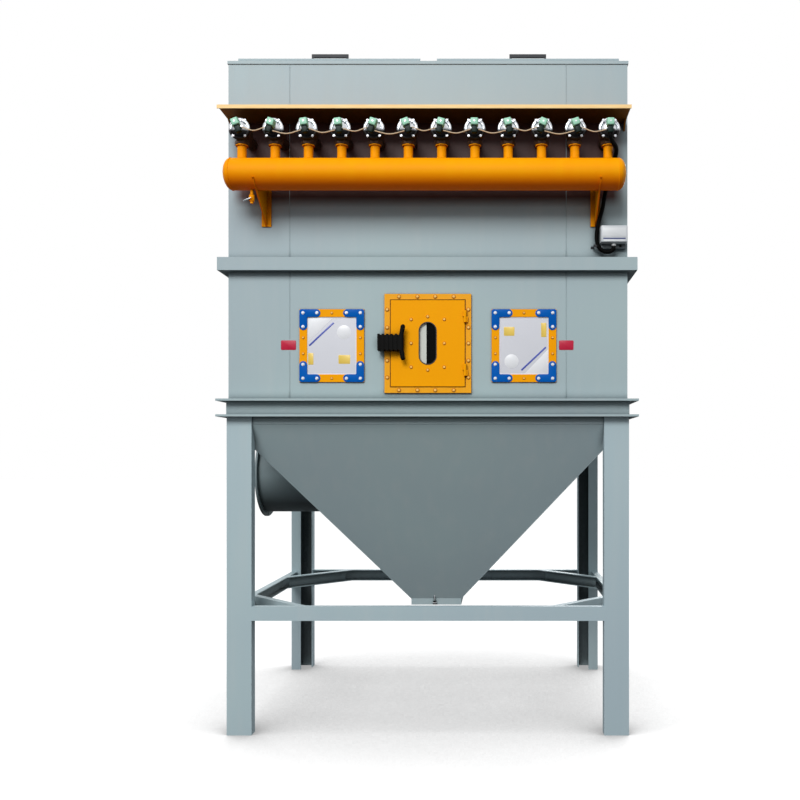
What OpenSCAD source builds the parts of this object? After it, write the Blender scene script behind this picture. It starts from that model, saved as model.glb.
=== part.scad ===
// Pulse bag dust collector: a welded casing with twelve rows of filter bags,
// on four lipped-angle legs over a pyramid hopper, cleaned by compressed air
// from a manifold on the front. Millimetres, +Z up, the floor at z = 0.

/* [Casing] */
// Outside width of the casing
casing_w = 2250; // [2220:10:2600]
// Outside depth of the casing
casing_d = 1600; // [1560:10:2000]
// Thickness of the wall plates
wall_t = 5; // [3:0.5:8]
// Height of the filter chamber, from the legs' tops to the flanged joint
chamber_h = 854; // [800:1:1000]
// Height of the clean-air chamber, from the flanged joint to the roof
plenum_h = 1147; // [1080:1:1400]

/* [Legs] */
// Height of the legs, up to the base ring
leg_h = 1794; // [1700:1:2200]
// Width of each face of a leg
leg_w = 140; // [120:1:170]
// Plate thickness of a leg
leg_t = 8; // [6:0.5:12]
// Depth of the lips along a leg's edges
leg_lip = 60; // [40:1:80]

/* [Braces] */
// Height of the braces' underside above the floor
brace_z = 645; // [400:1:900]
// Height of the braces' channel section
brace_h = 80; // [60:1:100]
// Flange width of the braces' channel section
brace_flange = 43; // [34:1:50]
// Plate thickness of the braces
brace_t = 6; // [4:0.5:8]
// Distance from a corner to the near face of its diagonal brace
diagonal_reach = 330; // [250:1:450]

/* [Base ring] */
// Height of the base ring's channel section
base_h = 100; // [80:1:140]
// Flange width of the base ring, its web included
base_flange = 56; // [45:1:70]
// Web thickness of the base ring
base_web_t = 10; // [4:0.5:12]
// Flange thickness of the base ring
base_flange_t = 12; // [7:0.5:14]

/* [Hopper] */
// Height of the vertical skirt over the hopper's slopes
skirt_h = 40; // [20:1:80]
// Height of the hopper's slopes
slope_h = 1089; // [1000:1:1150]
// Outside width of the square outlet
outlet_w = 320; // [250:1:400]
// Height of the outlet collar
outlet_h = 41; // [30:1:80]

/* [Ducts] */
// Outside diameter of the inlet and outlet pipes
duct_d = 500; // [400:1:540]
// Wall thickness of the pipes
duct_t = 5; // [3:0.5:8]
// Width of the flange round each pipe
duct_band = 30; // [26:1:40]
// Thickness of the flanges
duct_flange_t = 12; // [8:1:13]
// Distance of the inlet's face from the casing's side
inlet_out = 5; // [4:1:40]
// Gap between the inlet's flange and the top of the slopes
inlet_drop = 12; // [10:1:30]
// Distance of the clean-air outlet's face from the rear wall
outlet_out = 160; // [120:1:300]
// Height of the clean-air outlet's centre above the tube sheet
outlet_rise = 330; // [300:1:380]
// Bolts round each flange
flange_bolts = 12; // [8:1:24]
// Diameter of the flange bolt holes
flange_hole_d = 12; // [8:0.5:14]

/* [Rim] */
// Height of the rim over the flanged joint
rim_h = 73; // [50:1:100]
// Distance of the rim's face from the wall
rim_out = 49; // [35:1:60]
// Plate thickness of the rim
rim_t = 5; // [3:0.5:8]

/* [Roof] */
// Depth of the roof plate's folded lip
roof_lip = 17; // [12:1:40]
// Thickness of the roof plate
roof_t = 5; // [3:0.5:8]
// Height of the roof lids
lid_h = 35; // [25:1:80]
// Distance of the lids from the roof's edges
lid_inset = 42; // [30:1:100]
// Gap between the two lids
lid_gap = 95; // [60:1:200]
// Plate thickness of the lids
lid_t = 3; // [2:0.5:5]
// Length of the lid handles
grip_l = 210; // [150:1:300]
// Height of the lid handles
grip_h = 37; // [18:1:60]
// Distance of the lid handles behind the lids' front edge
grip_inset = 30; // [20:1:200]
// Thickness of the lid handles' bar
grip_t = 12; // [8:1:16]

/* [Filter bags] */
// Rows of bags across the width, each with its own pulse valve
rows = 12; // [8:1:12]
// Bags in each row
bags_deep = 8; // [6:1:8]
// Distance of the outer rows' centres from the casing's sides
row_inset = 135; // [120:1:170]
// Distance of the outer bags' centres from the front and rear walls
bag_inset = 152.5; // [130:0.5:200]
// Outside diameter of a bag
bag_d = 130; // [110:1:150]
// Thickness of a bag's cloth on its cage
bag_t = 4; // [3:0.5:8]
// Length of a bag
bag_l = 1200; // [1000:1:1260]
// Height of the tube sheet above the flanged joint
sheet_rise = 432; // [400:1:480]
// Thickness of the tube sheet
sheet_t = 6; // [5:0.5:12]

/* [Air manifold] */
// Outside diameter of the manifold
manifold_d = 168; // [140:1:200]
// Distance of the manifold's ends from the casing's sides
manifold_inset = 37.5; // [10:0.5:60]
// Depth of the domed ends
dome = 42; // [30:1:60]
// Wall thickness of the manifold and its stub pipes
manifold_t = 5; // [3:0.5:8]
// Distance of the manifold's axis from the front wall
manifold_out = 191; // [185:1:230]
// Height of the manifold's axis above the flanged joint
manifold_rise = 449; // [430:1:500]
// Outside diameter of the stub pipes
stub_d = 50; // [40:1:60]
// Height of the stub pipes above the manifold's top
stub_h = 95; // [70:1:130]
// Diameter of the collars on the stub pipes
collar_d = 66; // [62:1:80]
// Height of the collars
collar_h = 30; // [20:1:40]

/* [Pulse valves] */
// Height of the valve's centre above its stub pipe
valve_rise = 50; // [50:1:90]
// Diameter of the valve body
valve_d = 96; // [80:1:110]
// Length of the valve body
valve_l = 80; // [60:1:90]
// Diameter of the valve cover
cover_d = 118; // [112:1:130]
// Thickness of the valve cover
cover_t = 24; // [16:1:30]
// Height of a pilot coil's middle above the valve's centre
coil_lift = 12; // [0:1:16]
// Width of a pilot coil
coil_w = 50; // [40:1:60]
// Height of a pilot coil
coil_h = 42; // [36:1:50]
// Length of a pilot coil
coil_l = 48; // [40:1:60]
// Length of the stem between valve cover and coil
stem_l = 12; // [8:1:20]
// Drop of the plug under each coil
plug_h = 35; // [25:1:40]
// Width of the plug
plug_w = 30; // [24:1:40]
// Depth of the plug
plug_d = 29; // [24:1:40]
// Largest turn of a coil on its stem, in degrees
coil_turn = 22; // [0:1:30]

/* [Coil cables] */
// Diameter of the cables from coil to coil
cable_d = 6; // [5:0.5:8]
// Straight length of a cable where it leaves a plug
cable_lead = 12; // [8:1:20]
// Sag of a cable below its leads
cable_sag = 16; // [8:1:30]

/* [Canopy] */
// Distance of the canopy's edge from the front wall
canopy_out = 240; // [200:1:300]
// Distance of the canopy's ends from the casing's sides
canopy_inset = 14; // [0:1:60]
// Height of the canopy above the valve centres
canopy_rise = 124; // [90:1:140]
// Depth of the canopy's front lip
canopy_lip = 20; // [12:1:26]
// Height of the canopy's flange on the wall
canopy_flange = 30; // [20:1:60]
// Plate thickness of the canopy
canopy_t = 4; // [3:0.5:6]
// Distance of the canopy's gussets from its ends
gusset_inset = 6; // [5:1:60]
// Depth of the canopy's gussets
gusset_d = 70; // [50:1:150]
// Height of the canopy's gussets
gusset_h = 46; // [30:1:90]

/* [Manifold brackets] */
// Distance of the brackets from the casing's sides
bracket_inset = 199; // [180:1:215]
// How far the pair of brackets is set to the right of the middle
bracket_off = 17; // [-20:1:20]
// Height of a bracket, from its foot to the manifold's axis
bracket_h = 232; // [200:1:260]
// Width of a bracket's wall plate
bracket_w = 54; // [40:1:60]
// Plate thickness of the brackets
bracket_t = 8; // [6:0.5:10]

/* [Drain cock] */
// Distance of the drain cock from the left bracket
cock_gap = 28; // [22:1:60]
// Diameter of the cock's body
cock_d = 30; // [24:1:36]
// Height of the cock's body
cock_h = 34; // [24:1:50]
// Diameter of the cock's pipe
cock_pipe_d = 18; // [14:1:22]
// Length of the pipe above the body
cock_drop = 28; // [16:1:50]
// Length of the spout below the body
cock_spout = 12; // [8:1:30]
// Bore of the spout
cock_bore = 10; // [6:1:12]
// Length of the cock's lever
lever_l = 46; // [40:1:90]

/* [Controller] */
// Width of the pulse controller's box
control_w = 150; // [120:1:160]
// Height of the controller's box
control_h = 95; // [80:1:120]
// Depth of the controller's box
control_d = 72; // [60:1:90]

/* [Door] */
// Width of the door leaf
leaf_w = 416; // [380:1:460]
// Height of the door leaf
leaf_h = 485; // [440:1:520]
// Thickness of the door leaf
leaf_t = 12; // [8:1:20]
// Gap round the leaf and behind it
leaf_gap = 5; // [5:0.5:8]
// Lap of the leaf over the wall's opening
leaf_lap = 10; // [6:1:20]
// Width of the frame's strips
frame_w = 31; // [27:1:50]
// Thickness of the frame
frame_t = 12; // [8:1:16]
// Height of the door's centre above the legs
door_rise = 413; // [380:1:440]
// Width of the window
window_w = 99; // [80:1:130]
// Height of the window
window_h = 239; // [180:1:280]
// Margin of the glass round the window
glass_lap = 22; // [15:1:30]
// Thickness of the glass
glass_t = 4; // [3:0.5:4.5]

/* [Door hinges] */
// Diameter of the hinge knuckles
knuckle_d = 16; // [14:0.5:20]
// Height of one knuckle
knuckle_h = 33; // [25:1:45]
// Distance between the two hinges
hinge_spread = 300; // [240:1:340]
// Diameter of the hinge pins
pin_d = 8; // [6:0.5:10]
// Radial clearance of a pin in its knuckle
pin_play = 0.05; // [0.02:0.01:0.1]
// Gap between the knuckles of a hinge
knuckle_gap = 0.3; // [0.2:0.1:0.5]

/* [Door handle] */
// Length of the ribbed latch body
latch_l = 133; // [90:1:150]
// Height of the ribbed latch body
latch_h = 92; // [70:1:110]
// Depth of the latch body in front of the leaf
latch_d = 52; // [40:1:70]
// Distance of the latch body's end past the leaf's edge
latch_over = 68; // [40:1:80]
// Length of the grip bar
bar_l = 203; // [150:1:240]
// Diameter of the grip bar
bar_d = 26; // [20:1:32]
// Length of the grip bar's bent ends
bar_end = 58; // [40:1:70]
// Bend of the grip bar's ends, in degrees
bar_bend = 10; // [0:1:25]

/* [Vents] */
// Width of an explosion vent
vent_w = 364; // [320:1:380]
// Height of an explosion vent
vent_h = 410; // [360:1:440]
// Width of the strips round a vent's membrane
vent_band = 43; // [35:1:55]
// Thickness of the strips
vent_t = 8; // [5:0.5:12]
// Thickness of the membrane
membrane_t = 3; // [1.5:0.5:5]
// Gap between a vent and the door's frame
vent_gap = 115; // [80:1:150]
// Height of the vents' centres above the legs
vent_rise = 401; // [360:1:430]

/* [Hidden] */
$fn = 64;

grey = [0.67, 0.73, 0.75];
orange = [1, 0.64, 0.02];
silver = [0.78, 0.79, 0.8];
black = [0.08, 0.08, 0.09];
mint = [0.58, 0.85, 0.7];

half_w = casing_w / 2;
half_d = casing_d / 2;
joint_z = leg_h + chamber_h;
roof_z = joint_z + plenum_h;

// What stands furthest ahead of the front wall, and behind the rear wall
cover_out = manifold_out + valve_l / 2;
coil_out = cover_out + cover_t + stem_l;
front_reach = coil_out + coil_l;
rear_reach = outlet_out;
// Puts the middle of the whole object's box over the origin
casing_y = (front_reach - rear_reach) / 2;

leg_inner = half_w + leg_t - leg_w;
leg_inner_y = half_d + leg_t - leg_w;

knee_z = leg_h - skirt_h;
outlet_z = knee_z - slope_h;
slope_x = (half_w - outlet_w / 2) / slope_h;
slope_y = (half_d - outlet_w / 2) / slope_h;

duct_r = duct_d / 2;
flange_r = duct_r + duct_band;
bolt_r = duct_r + duct_band / 2;
inlet_z = knee_z - inlet_drop - flange_r;
sheet_z = joint_z + sheet_rise;
outlet_duct_z = sheet_z + outlet_rise;

row_pitch = (casing_w - 2 * row_inset) / (rows - 1);
bag_pitch = (casing_d - 2 * bag_inset) / (bags_deep - 1);

manifold_r = manifold_d / 2;
manifold_l = casing_w - 2 * manifold_inset;
bracket_x = half_w - bracket_inset;
canopy_w = casing_w - 2 * canopy_inset;
manifold_z = joint_z + manifold_rise;
stub_top = manifold_z + manifold_r + stub_h;
valve_z = stub_top + valve_rise;
valve_bore_r = stub_d / 2 - manifold_t;
neck_r = stub_d / 2 + 5;

door_z = leg_h + door_rise;
leaf_out = leaf_gap + leaf_t;
opening_w = leaf_w - 2 * leaf_lap;
opening_h = leaf_h - 2 * leaf_lap;
frame_in_w = leaf_w + 2 * leaf_gap;
frame_in_h = leaf_h + 2 * leaf_gap;
hinge_x = leaf_w / 2 + leaf_gap / 2;
hinge_out = leaf_out + knuckle_d / 2;
web_l = 14;

vent_x = frame_in_w / 2 + frame_w + vent_gap + vent_w / 2;

control_x = half_w - 8 - control_w / 2;
control_z = joint_z + 114;
gland_z = control_z - 14;
gland_d = 26;

// Route of the black conduit: down from the last pilot coil's plug, then up into the
// controller's gland, as distance across, distance ahead of the front wall, height
conduit_d = 24;
conduit_start = [half_w - row_inset, coil_out + coil_l / 2,
                 valve_z + coil_lift - coil_h / 2 - plug_h];
conduit_end = [control_x, 40, gland_z];
conduit_route = concat(
    [for (p = [[0, 0, 0], [0, 0, -14], [3, -3, -26], [9, -9, -37], [18, -18, -46],
               [28, -31, -53], [36, -48, -59], [41, -71, -64], [43, -98, -72],
               [43, -128, -84], [41, -160, -102], [37, -188, -128], [31, -209, -158],
               [21, -222, -190]])
        conduit_start + p],
    [for (p = [[-45, 21, 310], [-53, 15, 270], [-60, 11, 227], [-70, 7, 182],
               [-83, 3, 138], [-92, 0, 95], [-95, 0, 57], [-94, 0, 26],
               [-86, 0, -1], [-72, 0, -20], [-55, 0, -31], [-38, 0, -34],
               [-21, 0, -32], [-7, 0, -23], [0, 0, -11], [0, 0, 0]])
        conduit_end + p]);
// A direction that no stretch of the route runs along
sweep_guide = [1, -1, 1];

// ---- helpers ----

// Puts the casing's centre where the whole object's box is centred on the origin
module place() translate([0, casing_y, 0]) children();

// A plate or bar between two opposite corners
module slab(low, high) translate(low) cube(high - low);

module mirrored_x(on = true) mirror([on ? 1 : 0, 0, 0]) children();

module mirrored_y(on = true) mirror([0, on ? 1 : 0, 0]) children();

module both_x() for (right = [false, true]) mirrored_x(right) children();

module both_y() for (rear = [false, true]) mirrored_y(rear) children();

// Runs a profile drawn in y and z along x, over a length centred on x = 0
module along_x(length) rotate([90, 0, 90])
    translate([0, 0, -length / 2]) linear_extrude(length) children();

// Runs a profile drawn in x and z along y, over a length centred on y = 0
module along_y(length) rotate([90, 0, 0])
    translate([0, 0, -length / 2]) linear_extrude(length) children();

// A channel section with its web on the y = 0 side and its flanges towards +y
module channel(height, flange, web, thick) polygon([
    [0, 0], [flange, 0], [flange, thick], [web, thick],
    [web, height - thick], [flange, height - thick], [flange, height], [0, height]]);

// The plan of a bar outside a wall `length` long, mitred at both ends
module mitred(length, out) polygon([[-length / 2, 0], [length / 2, 0],
                                    [length / 2 + out, -out], [-length / 2 - out, -out]]);

module ring_of(count, radius) for (i = [0 : count - 1])
    rotate([0, 0, 360 * i / count]) translate([radius, 0, 0]) children();

// A cylinder along y whose near end is at distance `out` ahead of the front wall
module forward(out, length, r) translate([0, -half_d - out, 0])
    rotate([-90, 0, 0]) cylinder(h = length, r = r);

// ---- legs and braces ----

module leg_outline() polygon([
    [0, 0], [leg_w, 0], [leg_w, leg_t + leg_lip], [leg_w - leg_t, leg_t + leg_lip],
    [leg_w - leg_t, leg_t], [leg_t, leg_t], [leg_t, leg_w - leg_t],
    [leg_t + leg_lip, leg_w - leg_t], [leg_t + leg_lip, leg_w], [0, leg_w]]);

// What is cut from the lip of the leg's x face so that the hopper's slope clears it
module cope(slope) {
    clear = 4;
    deep = leg_lip + 1;
    translate([leg_w - leg_t - 1, leg_t, 0]) rotate([90, 0, 90]) linear_extrude(leg_t + 2)
        polygon([[deep, knee_z - clear - deep / slope], [0, knee_z - clear],
                 [0, leg_h + 1], [deep, leg_h + 1]]);
}

module legs() color(grey) place() both_x() both_y()
    translate([-half_w - leg_t, -half_d - leg_t, 0]) difference() {
        linear_extrude(leg_h) leg_outline();
        cope(slope_y);
        mirror([1, -1, 0]) cope(slope_x);
    }

module brace_section() channel(brace_h, brace_flange, brace_t, brace_t);

module braces_long() color(grey) place() both_y()
    translate([0, -half_d - leg_t, brace_z]) along_x(2 * leg_inner) brace_section();

module braces_short() color(grey) place() both_x()
    translate([-half_w - leg_t, 0, brace_z]) along_y(2 * leg_inner_y) brace_section();

// The plan of a diagonal: a strip across the corner between two distances along its sides
module diagonal_strip(near, far) polygon([[near, 0], [far, 0], [0, far], [0, near]]);

module diagonal() {
    near = diagonal_reach;
    web_far = near + brace_t * sqrt(2);
    far = near + brace_flange * sqrt(2);
    linear_extrude(brace_h) diagonal_strip(near, web_far);
    linear_extrude(brace_t) diagonal_strip(near, far);
    translate([0, 0, brace_h - brace_t]) linear_extrude(brace_t) diagonal_strip(near, far);
}

module corner_braces() color(grey) place() both_x() both_y()
    translate([-half_w - leg_t + brace_flange, -half_d - leg_t + brace_flange, brace_z])
        diagonal();

// ---- base ring ----

module base_section() mirror([1, 0])
    channel(base_h, base_flange, base_web_t, base_flange_t);

module base_bar(length) translate([0, 0, leg_h]) intersection() {
    along_x(length + 2 * base_flange) base_section();
    linear_extrude(base_h) mitred(length, base_flange);
}

module base_beams_long() color(grey) place() both_y()
    translate([0, -half_d, 0]) base_bar(casing_w);

module base_beams_short() color(grey) place() both_x() rotate([0, 0, -90])
    translate([0, -half_w, 0]) base_bar(casing_d);

// ---- hopper ----

// One wall of the hopper with its skirt, mitred at both ends. `wide` and `deep`
// are half the casing's size along the wall and across it.
module hopper_wall(wide, deep) {
    low = outlet_w / 2;
    polyhedron(
        points = [
            for (level = [[wide, deep, leg_h], [wide, deep, knee_z], [low, low, outlet_z]])
                for (inset = [0, wall_t], side = [-1, 1])
                    [side * (level[0] - inset), inset - level[1], level[2]]],
        faces = [
            [1, 0, 2, 3], [8, 9, 11, 10],
            [0, 1, 5, 4], [4, 5, 9, 8],
            [3, 2, 6, 7], [7, 6, 10, 11],
            [2, 0, 4, 6], [6, 4, 8, 10],
            [1, 3, 7, 5], [5, 7, 11, 9]]);
}

module hopper_front() color(grey) place() hopper_wall(half_w, half_d);
module hopper_rear() color(grey) place() rotate([0, 0, 180]) hopper_wall(half_w, half_d);
module hopper_right() color(grey) place() rotate([0, 0, 90]) hopper_wall(half_d, half_w);

module hopper_left() color(grey) place() difference() {
    rotate([0, 0, -90]) hopper_wall(half_d, half_w);
    translate([-half_w, 0, inlet_z]) rotate([0, 90, 0])
        cylinder(h = half_w, r = duct_r - duct_t);
}

module hopper_outlet() color(grey) place() translate([0, 0, outlet_z - outlet_h])
    linear_extrude(outlet_h) difference() {
        square(outlet_w, center = true);
        square(outlet_w - 2 * wall_t, center = true);
    }

// ---- ducts ----

// A pipe with its flange at z = 0, running towards +z
module flanged_pipe(length) difference() {
    union() {
        cylinder(h = duct_flange_t, r = flange_r);
        cylinder(h = length, r = duct_r);
    }
    translate([0, 0, -1]) cylinder(h = length + 2, r = duct_r - duct_t);
    ring_of(flange_bolts, bolt_r) translate([0, 0, -1])
        cylinder(h = duct_flange_t + 2, d = flange_hole_d);
}

// The inlet ends against the hopper's sloping left face
module inlet_duct() color(grey) place() difference() {
    translate([-half_w - inlet_out, 0, inlet_z]) rotate([0, 90, 0]) flanged_pipe(half_w);
    along_y(2 * flange_r + 2) polygon([
        [-half_w, knee_z], [-outlet_w / 2, outlet_z], [1, outlet_z], [1, knee_z]]);
}

module clean_air_outlet() color(grey) place()
    translate([0, half_d + outlet_out, outlet_duct_z]) rotate([90, 0, 0])
        flanged_pipe(outlet_out);

// ---- walls ----

module front_sheet(x0, x1, z0, z1) color(grey) place()
    slab([x0, -half_d, z0], [x1, wall_t - half_d, z1]);

module side_sheets(z0, z1) color(grey) place() both_x()
    slab([-half_w, wall_t - half_d, z0], [wall_t - half_w, half_d - wall_t, z1]);

module front_wall_left() front_sheet(-half_w, -opening_w / 2, leg_h, joint_z);
module front_wall_right() front_sheet(opening_w / 2, half_w, leg_h, joint_z);
module front_wall_lintel()
    front_sheet(-opening_w / 2, opening_w / 2, door_z + opening_h / 2, joint_z);
module front_wall_sill()
    front_sheet(-opening_w / 2, opening_w / 2, leg_h, door_z - opening_h / 2);
module rear_wall() color(grey) place()
    slab([-half_w, half_d - wall_t, leg_h], [half_w, half_d, joint_z]);
module side_walls() side_sheets(leg_h, joint_z);

// The twelve blow pipes enter through the front of the clean-air chamber
module plenum_front() difference() {
    front_sheet(-half_w, half_w, joint_z, roof_z);
    place() valve_row() forward(1, wall_t + 2, valve_bore_r);
}

module plenum_rear() color(grey) place() difference() {
    slab([-half_w, half_d - wall_t, joint_z], [half_w, half_d, roof_z]);
    translate([0, half_d + 1, outlet_duct_z]) rotate([90, 0, 0])
        cylinder(h = wall_t + 2, r = duct_r - duct_t);
}

module plenum_sides() side_sheets(joint_z, roof_z);

// ---- rim ----

module rim_bar(length) translate([0, 0, joint_z - rim_h / 2]) difference() {
    linear_extrude(rim_h) mitred(length, rim_out);
    translate([0, 0, rim_t]) linear_extrude(rim_h - 2 * rim_t)
        mitred(length, rim_out - rim_t);
}

module rims_long() color(grey) place() both_y() translate([0, -half_d, 0]) rim_bar(casing_w);

module rims_short() color(grey) place() both_x() rotate([0, 0, -90])
    translate([0, -half_w, 0]) rim_bar(casing_d);

// ---- roof ----

module roof_plate() color(grey) place() difference() {
    slab([-half_w - roof_t, -half_d - roof_t, roof_z + roof_t - roof_lip],
         [half_w + roof_t, half_d + roof_t, roof_z + roof_t]);
    slab([-half_w, -half_d, roof_z - roof_lip], [half_w, half_d, roof_z]);
}

// Each lid is a shallow pan turned over on the roof
module roof_lids() color(grey) place() both_x() difference() {
    slab([lid_gap / 2, lid_inset - half_d, roof_z + roof_t],
         [half_w - lid_inset, half_d - lid_inset, roof_z + roof_t + lid_h]);
    slab([lid_gap / 2 + lid_t, lid_inset + lid_t - half_d, roof_z],
         [half_w - lid_inset - lid_t, half_d - lid_inset - lid_t, roof_z + roof_t + lid_h - lid_t]);
}

module lid_handles() color(black) place() both_x()
    translate([(lid_gap / 2 + half_w - lid_inset) / 2, lid_inset + grip_inset - half_d,
               roof_z + roof_t + lid_h])
        along_y(grip_t) polygon([
            [-grip_l / 2, 0], [grip_t - grip_l / 2, 0], [grip_t - grip_l / 2, grip_h / 2],
            [grip_l / 2 - grip_t, grip_h / 2], [grip_l / 2 - grip_t, 0], [grip_l / 2, 0],
            [grip_l / 2, grip_h], [-grip_l / 2, grip_h]]);

// ---- filter bags ----

module bag_grid() for (i = [0 : rows - 1], j = [0 : bags_deep - 1])
    translate([valve_x(i), bag_inset - half_d + j * bag_pitch, 0]) children();

module tube_sheet() color(silver) place() difference() {
    slab([wall_t - half_w, wall_t - half_d, sheet_z],
         [half_w - wall_t, half_d - wall_t, sheet_z + sheet_t]);
    bag_grid() translate([0, 0, sheet_z - 1]) cylinder(h = sheet_t + 2, d = bag_d - 2 * bag_t);
}

module filter_bags() color("white") place() bag_grid()
    translate([0, 0, sheet_z - bag_l]) difference() {
        cylinder(h = bag_l, d = bag_d);
        translate([0, 0, bag_t]) cylinder(h = bag_l, d = bag_d - 2 * bag_t);
    }

// ---- air manifold and valves ----

function valve_x(i) = row_inset - half_w + i * row_pitch;

// Puts its child at the x of each pulse valve and at the valves' height
module valve_row() for (i = [0 : rows - 1]) translate([valve_x(i), 0, valve_z]) children();

// A vessel along x with elliptical ends
module vessel(r, length, end) {
    steps = 6;
    rotate([0, 90, 0]) rotate_extrude() polygon(concat(
        [for (k = [0 : steps]) [r * sin(90 * k / steps),
                                -length / 2 + end * (1 - cos(90 * k / steps))]],
        [for (k = [steps : -1 : 0]) [r * sin(90 * k / steps),
                                     length / 2 - end * (1 - cos(90 * k / steps))]]));
}

module air_manifold() color(orange) place() difference() {
    union() {
        translate([0, -half_d - manifold_out, manifold_z]) vessel(manifold_r, manifold_l, dome);
        translate([0, -half_d - manifold_out, manifold_z - valve_z]) valve_row() {
            cylinder(h = stub_top - manifold_z, d = stub_d);
            translate([0, 0, stub_top - manifold_z - collar_h])
                cylinder(h = collar_h, d = collar_d);
        }
    }
    translate([0, -half_d - manifold_out, manifold_z])
        vessel(manifold_r - manifold_t, manifold_l - 2 * manifold_t, dome - manifold_t);
    translate([0, -half_d - manifold_out, manifold_z - valve_z]) valve_row()
        cylinder(h = stub_top, r = valve_bore_r);
}

// Each bracket is a wall plate and a gusset whose top cradles the manifold
module manifold_brackets() color(orange) place() translate([bracket_off, 0, 0]) both_x()
    translate([bracket_x, -half_d, manifold_z]) difference() {
        union() {
            slab([-bracket_w / 2, -bracket_t, -bracket_h], [bracket_w / 2, 0, 20]);
            along_x(bracket_t) polygon([
                [0, -bracket_h], [0, 20], [-manifold_out, 0],
                [-manifold_out - manifold_r, -manifold_r / 2], [-bracket_t, -bracket_h]]);
            intersection() {
                translate([0, -manifold_out, 0]) rotate([0, 90, 0])
                    cylinder(h = bracket_t, r = manifold_r + bracket_t, center = true);
                slab([-bracket_t, -manifold_out - 2 * manifold_r, -2 * manifold_r],
                     [bracket_t, 0, -0.6 * manifold_r]);
            }
        }
        translate([0, -manifold_out, 0]) rotate([0, 90, 0])
            cylinder(h = 2 * bracket_w, r = manifold_r, center = true);
    }

// A drain cock under the manifold's left end, its lever pointing left
module drain_valve() color(silver) place()
    translate([bracket_off - bracket_x - cock_gap, -half_d - manifold_out,
               manifold_z - manifold_r - cock_drop - cock_h]) difference() {
        union() {
            cylinder(h = cock_h, d = cock_d);
            cylinder(h = cock_h + cock_drop + cock_d / 2, d = cock_pipe_d);
            translate([0, 0, -cock_spout]) cylinder(h = cock_spout, d = cock_pipe_d);
            slab([-lever_l, -cock_d / 4, cock_h / 6], [0, cock_d / 4, cock_h / 3]);
        }
        translate([0, 0, cock_h + cock_drop + manifold_r]) rotate([0, 90, 0])
            cylinder(h = 2 * cock_d, r = manifold_r, center = true);
        translate([0, 0, -cock_spout - 1]) cylinder(h = cock_h / 2 + cock_spout, d = cock_bore);
    }

// Right-angle valves: air enters from the stub below and leaves through the wall behind
module valve_bodies() color(black) place() valve_row() difference() {
    union() {
        translate([0, -half_d - manifold_out, -valve_rise]) cylinder(h = valve_rise, r = neck_r);
        forward(cover_out, valve_l, valve_d / 2);
        forward(cover_out - valve_l, cover_out - valve_l, neck_r);
    }
    translate([0, -half_d - manifold_out, -valve_rise - 1])
        cylinder(h = valve_rise + 1, r = valve_bore_r);
    forward(manifold_out, manifold_out + 1, valve_bore_r);
}

module valve_covers() color(silver) place() valve_row()
    forward(cover_out + cover_t, cover_t, cover_d / 2);

// How far a coil is turned on its stem; the last one stands straight, where the
// conduit leaves it
function coil_turn_at(i) = i == rows - 1 ? 0 : coil_turn * sin(140 * i - 80);

// Each coil sits on a stem over the valve's centre, with its plug below
module pilot_coils() color(mint) place()
    for (i = [0 : rows - 1]) translate([valve_x(i), 0, valve_z])
        rotate([0, coil_turn_at(i), 0]) translate([0, 0, coil_lift]) {
            forward(coil_out, stem_l, coil_h * 0.4);
            slab([-coil_w / 2, -half_d - coil_out - coil_l, -coil_h / 2],
                 [coil_w / 2, -half_d - coil_out, coil_h / 2]);
            slab([-plug_w / 2, -half_d - coil_out - (coil_l + plug_d) / 2,
                  -coil_h / 2 - plug_h],
                 [plug_w / 2, -half_d - coil_out - (coil_l - plug_d) / 2, -coil_h / 2]);
        }

// A point `out` beyond the right (side = 1) or left (side = -1) face of a plug
function plug_side(i, side, out) =
    let (turn = coil_turn_at(i), across = side * (plug_w / 2 + out),
         up = coil_lift - (coil_h + plug_h) / 2)
    [valve_x(i) + across * cos(turn) + up * sin(turn),
     -half_d - coil_out - coil_l / 2,
     valve_z - across * sin(turn) + up * cos(turn)];

// The cable from one plug to the next: a short lead at each end and a sag between
function cable_route(i) =
    let (lead = plug_side(i, 1, cable_lead), tail = plug_side(i + 1, -1, cable_lead))
    [plug_side(i, 1, 0), lead, (lead + tail) / 2 - [0, 0, cable_sag], tail,
     plug_side(i + 1, -1, 0)];

module coil_cables() color(black) place()
    for (i = [0 : rows - 2]) swept(cable_route(i), cable_d, 8);

module canopy() color(orange) place() {
    translate([0, -half_d, valve_z + canopy_rise]) along_x(canopy_w) polygon([
        [0, 0], [0, canopy_flange], [-canopy_t, canopy_flange], [-canopy_t, canopy_t],
        [-canopy_out, canopy_t], [-canopy_out, canopy_t - canopy_lip],
        [canopy_t - canopy_out, canopy_t - canopy_lip], [canopy_t - canopy_out, 0]]);
    both_x() translate([canopy_w / 2 - gusset_inset, -half_d, valve_z + canopy_rise])
        along_x(bracket_t) polygon([[0, 0], [-gusset_d, 0], [0, -gusset_h]]);
}

// ---- controller ----

module controller() color(silver) place() {
    slab([control_x - control_w / 2, -half_d - control_d, control_z],
         [control_x + control_w / 2, -half_d, control_z + control_h]);
    slab([control_x - control_w / 2 + 6, -half_d - 26, control_z - 26],
         [control_x + control_w / 2 - 6, -half_d, control_z]);
    translate([conduit_end[0], -half_d - conduit_end[1], gland_z])
        cylinder(h = control_z - gland_z, d = gland_d);
}

function unit(v) = v / norm(v);
function tangent(path, i) =
    unit(path[min(i + 1, len(path) - 1)] - path[max(i - 1, 0)]);
function hoop(path, i, r, sides) =
    let (t = tangent(path, i), u = unit(cross(t, sweep_guide)), v = cross(t, u))
    [for (k = [0 : sides - 1])
        path[i] + r * (cos(360 * k / sides) * u + sin(360 * k / sides) * v)];

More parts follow.
